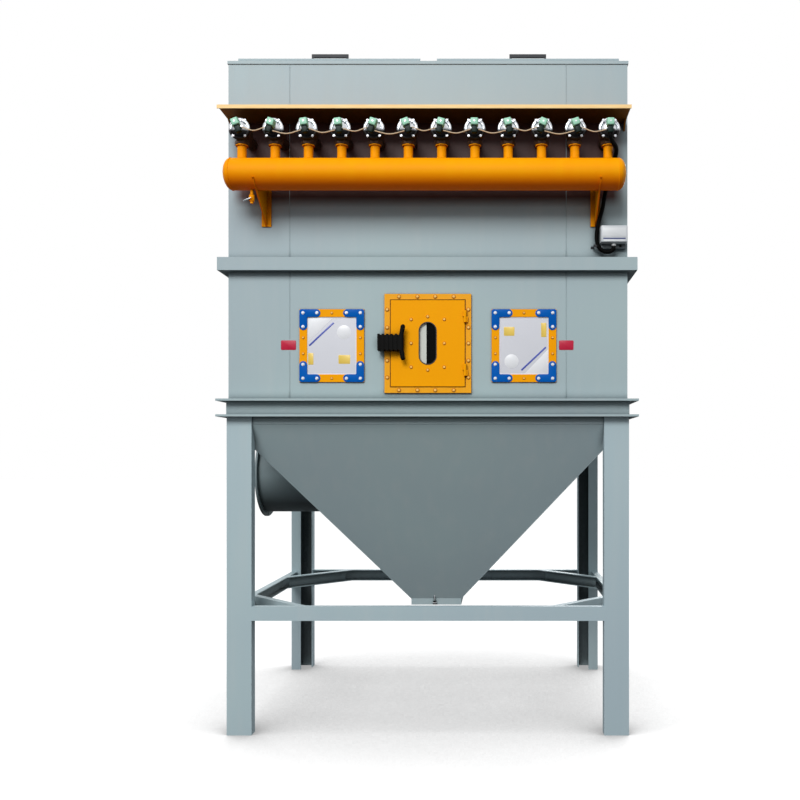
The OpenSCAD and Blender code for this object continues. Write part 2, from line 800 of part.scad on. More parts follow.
// A tube swept along a path, closed at both ends
module swept(path, d, sides = 10) {
    last = len(path) - 1;
    polyhedron(
        points = [for (i = [0 : last]) each hoop(path, i, d / 2, sides)],
        faces = concat(
            [[for (k = [0 : sides - 1]) k]],
            [[for (k = [sides - 1 : -1 : 0]) last * sides + k]],
            [for (i = [0 : last - 1], k = [0 : sides - 1])
                let (a = i * sides + k, b = i * sides + (k + 1) % sides)
                each [[a, a + sides, b + sides], [a, b + sides, b]]]));
}

module conduit() color(black) place()
    swept([for (p = conduit_route) [p[0], -half_d - p[1], p[2]]], conduit_d);

// ---- vents ----

module vent_places() both_x() translate([vent_x, -half_d, leg_h + vent_rise]) children();

// A rectangle centred on the origin, facing -y, from `out` ahead of the wall back to it
module panel(width, height, out) slab([-width / 2, -out, -height / 2], [width / 2, 0, height / 2]);

module vent_frames() color(orange) place() vent_places() difference() {
    panel(vent_w, vent_h, vent_t);
    translate([0, 1, 0]) panel(vent_w - 2 * vent_band, vent_h - 2 * vent_band, vent_t + 2);
}

module vent_membranes() color(silver) place() vent_places()
    panel(vent_w - 2 * vent_band, vent_h - 2 * vent_band, membrane_t);

// ---- door ----

module at_door() place() translate([0, -half_d, door_z]) children();

module door_frame() color(orange) at_door() difference() {
    panel(frame_in_w + 2 * frame_w, frame_in_h + 2 * frame_w, frame_t);
    translate([0, 1, 0]) panel(frame_in_w, frame_in_h, frame_t + 2);
}

// Lift-off hinges: the frame's half carries the pin, the leaf's half drops over it
module hinge_places() for (side = [-1, 1])
    translate([hinge_x, -hinge_out, side * hinge_spread / 2]) children();

module door_hinges() color(orange) at_door() hinge_places() {
    translate([0, 0, -knuckle_h]) cylinder(h = knuckle_h, d = knuckle_d);
    slab([0, 0, -knuckle_h], [web_l, hinge_out - frame_t, 0]);
    cylinder(h = knuckle_h - 4, d = pin_d);
}

module window_outline(width, height) {
    square([width, height - width], center = true);
    for (side = [-1, 1]) translate([0, side * (height - width) / 2]) circle(d = width);
}

module door_leaf() color(orange) at_door() {
    difference() {
        translate([0, -leaf_gap, 0]) panel(leaf_w, leaf_h, leaf_t);
        along_y(3 * leaf_out) window_outline(window_w, window_h);
    }
    hinge_places() difference() {
        union() {
            translate([0, 0, knuckle_gap]) cylinder(h = knuckle_h, d = knuckle_d);
            slab([-web_l, 0, knuckle_gap], [0, hinge_out - leaf_out, knuckle_gap + knuckle_h]);
        }
        translate([0, 0, knuckle_gap - 1])
            cylinder(h = knuckle_h - 2, d = pin_d + 2 * pin_play);
    }
}

// The glass is clamped on the back of the leaf
module door_window() color([0.6, 0.7, 0.75, 0.4]) at_door() translate([0, glass_t - leaf_gap, 0])
    panel(window_w + 2 * glass_lap, window_h + 2 * glass_lap, glass_t);

module door_handle() color(black) at_door() {
    latch_x = -leaf_w / 2 - latch_over;
    bar_x = latch_x + latch_l;
    ribs = 6;
    rib = latch_l / (2 * ribs - 1);
    slab([latch_x, -leaf_out - latch_d + 5, 5 - latch_h / 2],
         [bar_x, -leaf_out, latch_h / 2 - 5]);
    for (i = [0 : ribs - 1])
        slab([latch_x + 2 * i * rib, -leaf_out - latch_d, -latch_h / 2],
             [latch_x + (2 * i + 1) * rib, -leaf_out, latch_h / 2]);
    translate([bar_x, -leaf_out - latch_d + bar_d / 2, 0]) {
        cylinder(h = bar_l - 2 * bar_end, d = bar_d, center = true);
        for (half = [0, 1]) mirror([0, 0, half])
            translate([0, 0, bar_l / 2 - bar_end]) rotate([0, bar_bend, 0]) {
                sphere(d = bar_d);
                cylinder(h = bar_end - bar_d / 2, d = bar_d);
                translate([0, 0, bar_end - bar_d / 2]) sphere(d = bar_d);
            }
    }
}

legs();
braces_long();
braces_short();
corner_braces();
base_beams_long();
base_beams_short();
hopper_front();
hopper_rear();
hopper_left();
hopper_right();
hopper_outlet();
inlet_duct();
front_wall_left();
front_wall_right();
front_wall_lintel();
front_wall_sill();
rear_wall();
side_walls();
rims_long();
rims_short();
plenum_front();
plenum_rear();
plenum_sides();
clean_air_outlet();
roof_plate();
roof_lids();
lid_handles();
tube_sheet();
filter_bags();
air_manifold();
manifold_brackets();
drain_valve();
valve_bodies();
valve_covers();
pilot_coils();
coil_cables();
canopy();
controller();
conduit();
vent_frames();
vent_membranes();
door_frame();
door_hinges();
door_leaf();
door_window();
door_handle();
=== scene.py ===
"""Pulse bag dust collector: finishes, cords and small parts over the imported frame."""
import math

import bmesh
import bpy
from mathutils import Matrix, Vector


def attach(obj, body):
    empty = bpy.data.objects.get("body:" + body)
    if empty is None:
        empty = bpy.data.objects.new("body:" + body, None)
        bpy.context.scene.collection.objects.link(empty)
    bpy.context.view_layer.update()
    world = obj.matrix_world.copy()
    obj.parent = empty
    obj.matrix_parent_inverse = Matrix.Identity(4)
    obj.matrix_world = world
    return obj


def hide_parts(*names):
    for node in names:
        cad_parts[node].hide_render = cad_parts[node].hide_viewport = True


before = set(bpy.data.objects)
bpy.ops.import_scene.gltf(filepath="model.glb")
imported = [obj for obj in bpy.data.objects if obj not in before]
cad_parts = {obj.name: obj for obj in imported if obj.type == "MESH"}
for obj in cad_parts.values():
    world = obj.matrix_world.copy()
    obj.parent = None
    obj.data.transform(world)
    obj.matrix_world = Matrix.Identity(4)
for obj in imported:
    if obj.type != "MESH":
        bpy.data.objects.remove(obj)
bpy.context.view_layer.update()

# Main places, in metres; the front looks along -y
FRONT = (math.pi / 2, 0, 0)
WALL_Y = -0.7225
VALVES, VALVE_PITCH, VALVE_Z = 12, 0.18, 3.326
VALVE_X = [-0.99 + VALVE_PITCH * i for i in range(VALVES)]
COVER_Y = WALL_Y - 0.231
COIL_LIFT = 0.012
MANIFOLD_Y, MANIFOLD_Z = WALL_Y - 0.191, 3.097
CANOPY_FOOT = 3.452
DOOR_Z = 2.207
VENT_X, VENT_Z = 0.541, 2.195
BOX_X, BOX_FOOT, BOX_TOP = 1.042, 2.762, 2.857

# How far the coils are turned on their stems, in degrees
COIL_SWING, TURN_STEP, TURN_START = 22, 140, 80


# ---- the camera ----

def make_camera():
    data = bpy.data.cameras.new("camera")
    data.lens = 37.5
    data.sensor_width = 36
    data.shift_x = -0.1225
    data.shift_y = 0.075
    data.clip_end = 300
    camera = bpy.data.objects.new("camera", data)
    camera.location = (0.395, -5.4225, 1.551)
    camera.rotation_euler = FRONT
    bpy.context.collection.objects.link(camera)
    bpy.context.scene.camera = camera


make_camera()


# ---- node trees, written as Python sums ----

def maths(operation, swapped=False):
    """A Python operator that adds one Math node."""
    def work(self, other=0.0):
        first, second = (other, self) if swapped else (self, other)
        return self.graph.add("ShaderNodeMath", {"operation": operation}, {0: first, 1: second})
    return work


class Link:
    """One output of a node, used in sums as if it were a number."""

    def __init__(self, graph, output):
        self.graph = graph
        self.output = output

    __add__, __radd__ = maths("ADD"), maths("ADD", True)
    __sub__, __rsub__ = maths("SUBTRACT"), maths("SUBTRACT", True)
    __mul__, __rmul__ = maths("MULTIPLY"), maths("MULTIPLY", True)
    __gt__, __lt__ = maths("GREATER_THAN"), maths("LESS_THAN")
    sine, size = maths("SINE"), maths("ABSOLUTE")
    at_least, bearing = maths("MAXIMUM"), maths("ARCTAN2")


def shade(red, green, blue):
    """A paint chip's screen values as linear light."""
    def linear(level):
        level /= 255
        return level / 12.92 if level <= 0.04045 else ((level + 0.055) / 1.055) ** 2.4
    return (linear(red), linear(green), linear(blue), 1)


class Graph:
    """Fills a shader or geometry tree."""

    def __init__(self, tree):
        self.tree = tree
        tree.nodes.clear()

    def add(self, kind, settings=None, inputs=None, output=0):
        """A node from its type, its settings, and the values or links of its inputs."""
        node = self.tree.nodes.new(kind)
        for name, value in (settings or {}).items():
            if name == "stops":
                self.set_stops(node.color_ramp, value)
            else:
                setattr(node, name, value)
        for name, value in (inputs or {}).items():
            for part in value if isinstance(value, list) else [value]:
                if isinstance(part, Link):
                    self.tree.links.new(part.output, node.inputs[name])
                else:
                    node.inputs[name].default_value = part
        return Link(self, node.outputs[output]) if len(node.outputs) else node

    def set_stops(self, ramp, stops):
        while len(ramp.elements) < len(stops):
            ramp.elements.new(1.0)
        for element, (place, level) in zip(ramp.elements, stops):
            element.position = place
            element.color = (level, level, level, 1)

    def place(self):
        return self.add("ShaderNodeTexCoord", output="Object")

    def along(self, axis, vector):
        """A vector's share along X, Y or Z."""
        return self.add("ShaderNodeSeparateXYZ", {}, {0: vector}, axis)

    def stretched(self, vector, scale):
        return self.add("ShaderNodeVectorMath", {"operation": "MULTIPLY"},
                        {0: vector, 1: scale})

    def noise(self, vector, scale, detail, distortion=0.0):
        return self.add("ShaderNodeTexNoise", {},
                        {"Vector": vector, "Scale": scale, "Detail": detail,
                         "Distortion": distortion})

    def steps(self, value, *stops):
        return self.add("ShaderNodeValToRGB", {"stops": stops}, {"Fac": value})

    def rise(self, value, low, high):
        """From 0 at the low value to 1 at the high one."""
        return self.steps(value, (low, 0.0), (high, 1.0))

    def fall(self, value, low, high):
        """From 1 at the low value to 0 at the high one."""
        return self.steps(value, (low, 1.0), (high, 0.0))

    def mix(self, factor, *colours):
        """Between two colours, each one a link or a paint chip's three screen values."""
        first, second = (shade(*colour) if isinstance(colour, tuple) else colour
                         for colour in colours)
        return self.add("ShaderNodeMix", {"data_type": "RGBA"},
                        {0: factor, 6: first, 7: second}, output=2)

    def corner_shade(self, reach, shut, open_, alone=False):
        """1 deep in corners and under ledges, where shade falls, for painted shade, and 0 on open
        faces.
        """
        shelter = self.add("ShaderNodeAmbientOcclusion", {"samples": 6, "only_local": alone},
                           {"Distance": reach}, "AO")
        return self.fall(shelter, shut, open_)

    def underside(self, slope, flat):
        """1 where a face looks down, for painted shade, and 0 on walls and tops."""
        up = self.along("Z", self.add("ShaderNodeNewGeometry", output="Normal"))
        return self.rise(0.0 - up, slope, flat)

    def rays(self, *kinds):
        """1 on rays of the given kinds, and 0 on all others."""
        found = 0.0
        for kind in kinds:
            ray = self.add("ShaderNodeLightPath", output=f"Is {kind} Ray")
            found = ray.at_least(found)
        return found

    def given(self, name):
        return self.add("NodeGroupInput", output=name)


# ---- finishes ----

def surface(name, build, gloss=0.5, **fixed):
    """A material from build(graph), which gives colour, roughness and height in millimetres."""
    material = bpy.data.materials.new(name)
    material.use_nodes = True
    graph = Graph(material.node_tree)
    colour, roughness, height = build(graph)
    bump = graph.add("ShaderNodeBump", {}, {"Strength": 1.0, "Distance": 0.001, "Height": height})
    inputs = {"Base Color": colour, "Roughness": roughness, "Normal": bump,
              "Specular IOR Level": gloss}
    inputs.update({key.replace("_", " "): value for key, value in fixed.items()})
    shader = graph.add("ShaderNodeBsdfPrincipled", {}, inputs)
    graph.add("ShaderNodeOutputMaterial", {}, {"Surface": shader})
    return material


def recipe(work):
    """Lets work(graph, place, ...) be given its colours and amounts before its graph."""
    def chosen(*colours, **amounts):
        return lambda graph: work(graph, graph.place(), *colours, **amounts)
    return chosen


@recipe
def sprayed(g, place, main, drift, dusty, shade_colour, roughness, wave=0.9, corners=(0.07, 0.42, 0.76),
            downward_shade=(0.55, 1.0), under=None, depth=0.6):
    """Satin paint on plate: a slow drift of tone, plate waves, orange peel and dust, with painted
    shade darkening its corners and its faces that look down.
    """
    broad = g.rise(g.noise(place, 0.62, 2.0), 0.36, 0.64)
    peel = g.noise(place, 240.0, 2.0)
    plate = g.noise(place, 2.3, 1.0)
    runs = g.noise(g.stretched(place, (9.0, 9.0, 0.8)), 1.6, 4.0)
    dust = g.rise(runs, 0.48, 0.78)
    specks = g.rise(g.noise(place, 95.0, 3.0), 0.60, 0.72)
    tone = g.mix(broad, main, drift)
    tone = g.mix(dust * 0.16 + specks * 0.05, tone, dusty)
    # painted shade: darker in corners and under ledges
    corner_shade = g.corner_shade(*corners)
    # painted shade: faces that look down darken towards the under colour
    tone = g.mix(g.underside(*downward_shade) * depth, tone, under or shade_colour)
    tone = g.mix(corner_shade * 0.85, tone, shade_colour)
    rough = roughness + dust * 0.10 + peel * 0.06 + corner_shade * 0.2
    return tone, rough, plate * wave + peel * 0.035 + specks * 0.01


@recipe
def shaded_behind_valves(g, place, plain, painted_shade):
    """A paint darkened on the wall behind the air valves, under the canopy, as painted shade, warm
    brown for orange light bounced off the manifold.
    """
    tone, rough, height = plain(g)
    up = g.along("Z", place)
    row = g.rise((up - 2.95) * 2.0, 0.05, 0.17)
    ends = g.fall(g.along("X", place).size() * 0.8, 0.836, 0.885)
    return g.mix(row * ends * (up < CANOPY_FOOT) * 0.93, tone, painted_shade), rough, height


@recipe
def shaded_below(g, place, plain, painted_shade):
    """A valve cover's finish, its lower half painted near black as painted shade and a painted
    reflection of the dark ground.
    """
    tone, rough, height = plain(g)
    up = g.along("Z", place)
    below = g.fall((up - (VALVE_Z - 0.050)) * 10.0, 0.36, 0.52)
    return g.mix(below * 0.96, tone, painted_shade), rough + below * 0.3, height


@recipe
def highlit_lip(g, place, main, lip_highlight, shade_colour):
    """The canopy's orange paint: a painted highlight in pale streaks on its front lip, and painted
    shade on its underside.
    """
    lip = g.along("Y", place) < WALL_Y - 0.2385
    streaks = g.noise(g.stretched(place, (2.0, 2.0, 30.0)), 4.0, 3.0)
    highlight_streaks = g.steps(streaks, (0.30, 0.75), (0.70, 1.0))
    painted_shade = g.corner_shade(0.40, 0.45, 0.90)
    tone = g.mix(lip * highlight_streaks, g.mix(painted_shade * 0.9, main, shade_colour), lip_highlight)
    peel = g.noise(place, 240.0, 2.0)
    return tone, 0.44 + peel * 0.08, peel * 0.035 + streaks * 0.1


@recipe
def cast_metal(g, place, main, dark, grain, roughness):
    """Sand-cast and bead-blasted metal: fine pits, and darker where dirt stays."""
    pits = g.noise(place, 620.0, 3.0)
    patches = g.rise(g.noise(place, 60.0, 3.0), 0.42, 0.70)
    return g.mix(patches * 0.5, main, dark), roughness + patches * 0.16, pits * grain


@recipe
def plated(g, place, main, dark, roughness=0.26):
    """Zinc-plated steel: a faint mottle and fine scratches."""
    mottle = g.noise(place, 180.0, 3.0)
    scratches = g.noise(g.stretched(place, (30.0, 400.0, 400.0)), 3.0, 2.0)
    return g.mix(mottle, main, dark), roughness + mottle * 0.14, scratches * 0.012


@recipe
def rolled(g, place, main, dark):
    """Thin rolled sheet: straight roll lines, and a soft drift of tone."""
    lines = g.noise(g.stretched(place, (1.0, 1.0, 90.0)), 9.0, 3.0)
    drift = g.noise(place, 5.0, 2.0)
    tone = g.mix(lines * 0.35 + drift * 0.55, main, dark)
    return tone, 0.30 + lines * 0.12, drift * 0.5 + lines * 0.01


@recipe
def spangled(g, place, main, dark):
    """Hot-dip galvanised sheet: crystals of slightly different greys."""
    crystal = g.add("ShaderNodeTexVoronoi", {}, {"Vector": place, "Scale": 75.0}, "Color")
    level = g.add("ShaderNodeSeparateColor", {}, {0: crystal})
    return g.mix(level, main, dark), 0.28 + level * 0.20, level * 0.01


@recipe
def moulded(g, place, main, pale, grain=0.03, roughness=0.42):
    """Moulded plastic: a spark-eroded grain and a slight fade."""
    fine = g.noise(place, 900.0, 2.0)
    fade = g.noise(place, 14.0, 2.0)
    scuffs = g.rise(g.noise(place, 120.0, 4.0), 0.60, 0.75)
    return g.mix(fade * 0.7 + scuffs * 0.18, main, pale), roughness + scuffs * 0.14, fine * grain


@recipe
def enamelled(g, place, main, drift):
    """Stove enamel on a small plate: smooth, with a few specks."""
    broad = g.noise(place, 12.0, 2.0)
    specks = g.rise(g.noise(place, 260.0, 3.0), 0.62, 0.74)
    return g.mix(broad * 0.8, main, drift), 0.30 + specks * 0.15, broad * 0.12 + specks * 0.008


@recipe
def felted(g, place, main, dark):
    """Needle felt: short crossed fibres, singed on the outside, dust in the hollows."""
    fibres = g.noise(place, 900.0, 3.0, 1.5)
    across = g.noise(g.stretched(place, (500.0, 500.0, 120.0)), 1.0, 2.0)
    stain = g.rise(g.noise(place, 6.0, 4.0), 0.40, 0.80)
    tone = g.mix(stain * 0.5 + across * 0.2, main, dark)
    return tone, 0.86 + fibres * 0.10, fibres * 0.25 + across * 0.12


@recipe
def rubbery(g, place, main, pale):
    """Rubber seal: matt, with a bloom."""
    bloom = g.noise(place, 45.0, 3.0)
    return g.mix(bloom * 0.5, main, pale), 0.62 + bloom * 0.2, bloom * 0.05


@recipe
def shaded_glass(g, place, main, lit_bag_tone, edge):
    """Near-black glass as painted shade for the dark chamber behind it, its part to the left of an
    edge painted pale for the lit bag seen through it.
    """
    lit_bag_patch = g.along("X", place) < edge
    film = g.rise(g.noise(place, 30.0, 4.0), 0.45, 0.80)
    streaks = g.noise(g.stretched(place, (90.0, 1.0, 6.0)), 1.0, 2.0)
    tone = g.mix(lit_bag_patch * (0.8 + streaks * 0.2), main, lit_bag_tone)
    return tone, 0.05 + lit_bag_patch * 0.4 + film * 0.1, film * 0.01


# Each sprayed paint below darkens in its corners and on its faces that look down, as painted
# shade.
CASING_PAINT = sprayed((170, 189, 191), (165, 180, 186), (196, 200, 198), (24, 32, 38), 0.42)
# The legs and braces: the casing paint made lighter, as painted light, and near black deep in
# their own inside faces, as painted shade.
LIT_LEG_PAINT = sprayed((179, 199, 203), (174, 192, 199), (200, 204, 202), (10, 14, 16), 0.42,
                    corners=(0.30, 0.56, 0.80, True))
# The duct: the casing paint made darker, as painted shade, its faces that look down darker still.
SHADED_PIPE_PAINT = sprayed((160, 179, 181), (156, 170, 176), (186, 190, 188), (16, 22, 24), 0.42,
                     downward_shade=(0.05, 0.75), depth=0.85)
# The orange paint: its lower side turns red-orange as painted shade.
FITTING_PAINT = sprayed((255, 169, 0), (252, 157, 0), (255, 190, 8), (60, 16, 2), 0.45, wave=0.4,
                        corners=(0.14, 0.30, 0.62), downward_shade=(0.15, 0.85), under=(250, 100, 0),
                        depth=0.8)
DOOR_PAINT = sprayed((250, 172, 26), (244, 162, 20), (255, 196, 90), (90, 40, 4), 0.42, wave=0.3)
HANDLE_PAINT = sprayed((44, 47, 52), (36, 38, 42), (96, 98, 100), (12, 12, 12), 0.45, wave=0.2)
BLASTED = cast_metal((220, 222, 226), (150, 152, 156), 0.06, 0.18)

BODY = surface("body_paint", CASING_PAINT, 0.25)
LEGS = surface("lit_leg_paint", LIT_LEG_PAINT, 0.25)
DUCT = surface("shaded_duct_paint", SHADED_PIPE_PAINT, 0.25)
# painted shade on the wall behind the valves and just below the manifold, warm brown for bounced
# orange light
SHADED_WALL = surface("shaded_wall_paint", shaded_behind_valves(CASING_PAINT, (74, 22, 4)), 0.25)
ORANGE = surface("orange_paint", FITTING_PAINT, 0.06)
# painted highlight on the canopy's front lip, painted shade under the canopy
CANOPY_ORANGE = surface(
    "canopy_paint", highlit_lip((240, 150, 6), (255, 222, 160), (36, 12, 4)), 0.15)
FRAME_ORANGE = surface("door_frame_paint", DOOR_PAINT, 0.15)
# Lit and shaded copies of the door's orange: paler bolt heads as a painted highlight, darker
# washers round them as painted shade.
HIGHLIT_BOLT_ORANGE = surface(
    "highlit_bolts", cast_metal((255, 204, 104), (246, 176, 60), 0.05, 0.40), 0.2)
SHADED_WASHER_ORANGE = surface(
    "shaded_washers", cast_metal((206, 118, 8), (180, 96, 6), 0.05, 0.50), 0.15)
DARK_PAINT = surface("dark_paint", HANDLE_PAINT, 0.25)
GALVANISED = surface("galvanised_steel", spangled((196, 200, 202), (150, 155, 160)), Metallic=0.85)
FELT = surface("filter_felt", felted((232, 230, 222), (176, 172, 162)), Sheen_Weight=0.2)
# painted shade and a painted reflection of the dark ground on the covers' lower halves
CASTING = surface("cast_aluminium", shaded_below(BLASTED, (22, 16, 14)), Metallic=1.0)
# The valve bodies and coupling nuts: a dark brown copy of the cast metal, as painted shade tinted
# by orange light off the manifold.
SHADED_BODY_CASTING = surface(
    "shaded_valve_body_casting", cast_metal((84, 62, 48), (44, 30, 24), 0.12, 0.50), 0.2, Metallic=0.3)
STEEL = surface("plated_steel", plated((214, 216, 218), (168, 172, 176)), Metallic=0.95)
WHITE_BOLTS = surface("bright_bolts", plated((238, 240, 244), (206, 210, 216), 0.30),
                      Metallic=0.35)
MINT = surface("coil_plastic", moulded((142, 204, 172), (176, 226, 200)))
DARK_GREEN = surface("plug_plastic", moulded((6, 22, 18), (20, 44, 38), 0.03, 0.40), 0.15)
BOX_GREY = surface("box_plastic", moulded((196, 202, 206), (214, 218, 220)))
PALE_GREY = surface("box_face", moulded((210, 214, 217), (222, 225, 226), 0.02, 0.36))
SLATE = surface("terminal_plastic", moulded((70, 78, 84), (96, 104, 108)))
NAVY = surface("box_stripe", enamelled((34, 48, 110), (44, 60, 126)))
WHITE_NYLON = surface("white_nylon", moulded((236, 238, 238), (246, 246, 244)))
BLACK = surface("black_plastic", moulded((6, 6, 6), (18, 17, 16), 0.03, 0.50), 0.06)
SHEATH = surface("cable_sheath", moulded((206, 180, 146), (222, 200, 170), 0.02, 0.50), 0.2)
MEMBRANE = surface("membrane_metal", rolled((212, 213, 218), (196, 198, 206)), Metallic=0.25)
BLUE = surface("blue_enamel", enamelled((4, 98, 180), (4, 84, 186)), 0.05)
RED = surface("red_enamel", enamelled((196, 36, 66), (184, 28, 60)), 0.2)
YELLOW = surface("yellow_enamel", enamelled((240, 208, 96), (232, 196, 84)))
WHITE_PAINT = surface("white_enamel", enamelled((240, 241, 243), (230, 232, 236)))
VIOLET = surface("violet_enamel", enamelled((66, 84, 176), (86, 96, 178)))
SEAL = surface("seal_rubber", rubbery((104, 38, 14), (132, 60, 30)))
BLACK_SEAL = surface("black_rubber", rubbery((30, 31, 32), (60, 60, 60)))
# painted shade for the chamber behind the window, with a pale patch painted for the lit bag seen
# through it
GLASS = surface("window_glass", shaded_glass((6, 8, 9), (226, 230, 222), -0.008), 0.05, Alpha=0.96)

NODE_FINISHES = {
    ORANGE: ["air_manifold", "manifold_brackets", "vent_frames", "door_leaf", "door_hinges"],
    CANOPY_ORANGE: ["canopy"],
    SHADED_WALL: ["plenum_front"],
    LEGS: ["legs", "braces_long", "braces_short", "corner_braces"],
    DUCT: ["inlet_duct"],
    FRAME_ORANGE: ["door_frame"],
    DARK_PAINT: ["lid_handles"],
    GALVANISED: ["tube_sheet"],
    FELT: ["filter_bags"],
    CASTING: ["valve_covers"],
    SHADED_BODY_CASTING: ["valve_bodies"],
    STEEL: ["drain_valve"],
    MINT: ["pilot_coils"],
    BOX_GREY: ["controller"],
    BLACK: ["conduit", "coil_cables", "door_handle"],
    MEMBRANE: ["vent_membranes"],
    GLASS: ["door_window"],
}


def paint_nodes():
    """Every node takes the body's paint unless it is listed with another finish."""
    finish_of = {node: finish for finish, nodes in NODE_FINISHES.items() for node in nodes}
    for name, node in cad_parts.items():
        node.data.materials.clear()
        node.data.materials.append(finish_of.get(name, BODY))


paint_nodes()


# ---- making pieces ----

def piece_of(name, mesh, finish, body="casing", smooth=True, replaced=None):
    """A finished piece from a mesh that already lies in its place."""
    obj = bpy.data.objects.new(name, mesh)
    bpy.context.collection.objects.link(obj)
    mesh.materials.clear()
    mesh.materials.append(finish)
    if smooth:
        mesh.shade_smooth()
        mesh.set_sharp_from_angle(angle=math.radians(32))
    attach(obj, body)
    if replaced:
        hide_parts(replaced)
    return obj


def mesh_of(name, bm):
    """The bmesh's faces, merged and turned outwards, as a mesh."""
    bmesh.ops.remove_doubles(bm, verts=bm.verts, dist=1e-6)
    bmesh.ops.recalc_face_normals(bm, faces=bm.faces)
    mesh = bpy.data.meshes.new(name)
    bm.to_mesh(mesh)
    bm.free()
    return mesh


def finished(name, bm, finish, body="casing", replaced=None):
    return piece_of(name, mesh_of(name, bm), finish, body, replaced=replaced)


def add_block(bm, low, high, rounding, segments):
    """A box between two corners, its edges rounded."""
    made = bmesh.ops.create_cube(bm, size=1.0)["verts"]
    low, high = Vector(low), Vector(high)
    middle, size = (low + high) / 2, high - low
    for vert in made:
        vert.co = Vector(a * b for a, b in zip(vert.co, size)) + middle
    edges = dict.fromkeys(edge for vert in made for edge in vert.link_edges)
    bmesh.ops.bevel(bm, geom=list(edges), offset=rounding, segments=segments, affect="EDGES",
                    profile=0.5, clamp_overlap=True)


def circle(count, radius=1.0):
    """Points round a circle, as pairs."""
    return [(radius * math.cos(math.tau * k / count), radius * math.sin(math.tau * k / count))
            for k in range(count)]


def add_turned(bm, profile, matrix, sides):
    """A turned part about +z from (height, radius) pairs, then placed by the matrix."""
    rings = []
    for height, radius in profile:
        if radius < 1e-6:
            rings.append([bm.verts.new(matrix @ Vector((0, 0, height)))])
        else:
            rings.append([bm.verts.new(matrix @ Vector((x, y, height)))
                          for x, y in circle(sides, radius)])
    for first, second in zip(rings, rings[1:]):
        for k in range(sides):
            corners = [first[k % len(first)], first[(k + 1) % len(first)],
                       second[(k + 1) % len(second)], second[k % len(second)]]
            unique = list(dict.fromkeys(corners))
            if len(unique) > 2:
                bm.faces.new(unique)


def turned(profile, matrix, sides):
    bm = bmesh.new()
    add_turned(bm, profile, matrix, sides)
    return bm


def add_plate(bm, outline, back, front, rounding):
    """A flat plate facing -y: an (x, z) outline between two depths, its front edge eased."""
    loop = [bm.verts.new((x, back, z)) for x, z in outline]
    face = bm.faces.new(loop)
    grown = bmesh.ops.extrude_face_region(bm, geom=[face])["geom"]
    cap = next(item for item in grown if isinstance(item, bmesh.types.BMFace))
    for vert in cap.verts:
        vert.co.y = front
    bmesh.ops.bevel(bm, geom=list(cap.edges), offset=rounding, segments=2, affect="EDGES",
                    profile=0.5)


def add_ring(bm, outer, inner, back, front):
    """A flat frame facing -y between two (x, z) outlines of as many points."""
    rings = [[bm.verts.new((x, y, z)) for x, z in outline]
             for outline, y in ((outer, back), (outer, front), (inner, front), (inner, back))]
    for k in range(4):
        first, second = rings[k], rings[(k + 1) % 4]
        for i in range(len(first)):
            after = (i + 1) % len(first)
            bm.faces.new((first[i], first[after], second[after], second[i]))


def facing(x, y, z):
    """A frame at a point whose +z looks forwards, along -y."""
    return Matrix.Translation((x, y, z)) @ Matrix.Rotation(math.pi / 2, 4, "X")


def rounded(width, height, radius, steps, centre):
    """A rounded rectangle's outline, anticlockwise from its right side."""
    points = []
    for k, (sx, sz) in enumerate([(1, 1), (-1, 1), (-1, -1), (1, -1)]):
        middle = (centre[0] + sx * (width / 2 - radius), centre[1] + sz * (height / 2 - radius))
        for step in range(steps + 1):
            angle = math.pi / 2 * (k + step / steps)
            points.append((middle[0] + radius * math.cos(angle),
                           middle[1] + radius * math.sin(angle)))
    return points


# ---- cords ----

def smooth_path(points, step):
    """A smooth line through the points, about a step between its own points."""
    points = [Vector(p) for p in points]
    ends = [2 * points[0] - points[1], *points, 2 * points[-1] - points[-2]]
    line = []
    for k in range(len(points) - 1):
        a, b, c, d = ends[k:k + 4]
        count = max(2, round((c - b).length / step))
        for i in range(count):
            t = i / count
            line.append(0.5 * (2 * b + (c - a) * t + (2 * a - 5 * b + 4 * c - d) * t * t
                               + (3 * b - a - 3 * c + d) * t ** 3))
    line.append(points[-1])
    return line


def tube_mesh(name, line, radii, sides):
    """A closed tube along a line, one radius for each of its points."""
    bm = bmesh.new()
    tangents = [(line[min(i + 1, len(line) - 1)] - line[max(i - 1, 0)]).normalized()
                for i in range(len(line))]
    across = tangents[0].orthogonal().normalized()
    rings = []
    for point, tangent, radius in zip(line, tangents, radii):
        across = (across - tangent * across.dot(tangent)).normalized()
        up = tangent.cross(across)
        rings.append([bm.verts.new(point + radius * (x * across + y * up))
                      for x, y in circle(sides)])
    for first, second in zip(rings, rings[1:]):
        for k in range(sides):
            after = (k + 1) % sides
            bm.faces.new((first[k], first[after], second[after], second[k]))
    bm.faces.new(rings[0])
    bm.faces.new(rings[-1])
    return mesh_of(name, bm)


def make_cord(name, line, radii, sides, finish, replaced):
    """A hanging cord between two fixed ends, as a tube along its line."""
    cord = piece_of(name, tube_mesh(name, line, radii, sides), finish,
                    replaced=replaced)


CONDUIT_START = (0.990, WALL_Y - 0.291, 3.282)
CONDUIT_END = (BOX_X, WALL_Y - 0.040, 2.748)
# Across, out from the wall and up, in millimetres from each end
CONDUIT_FALL = [(0, 0, 0), (0, 0, -14), (3, -3, -26), (9, -9, -37), (18, -18, -46),
                (28, -31, -53), (36, -48, -59), (41, -71, -64), (43, -98, -72), (43, -128, -84),
                (41, -160, -102), (37, -188, -128), (31, -209, -158), (21, -222, -190)]
CONDUIT_LOOP = [(-45, 21, 310), (-53, 15, 270), (-60, 11, 227), (-70, 7, 182), (-83, 3, 138),
                (-92, 0, 95), (-95, 0, 57), (-94, 0, 26), (-86, 0, -1), (-72, 0, -20),
                (-55, 0, -31), (-38, 0, -34), (-21, 0, -32), (-7, 0, -23), (0, 0, -11),
                (0, 0, 0)]


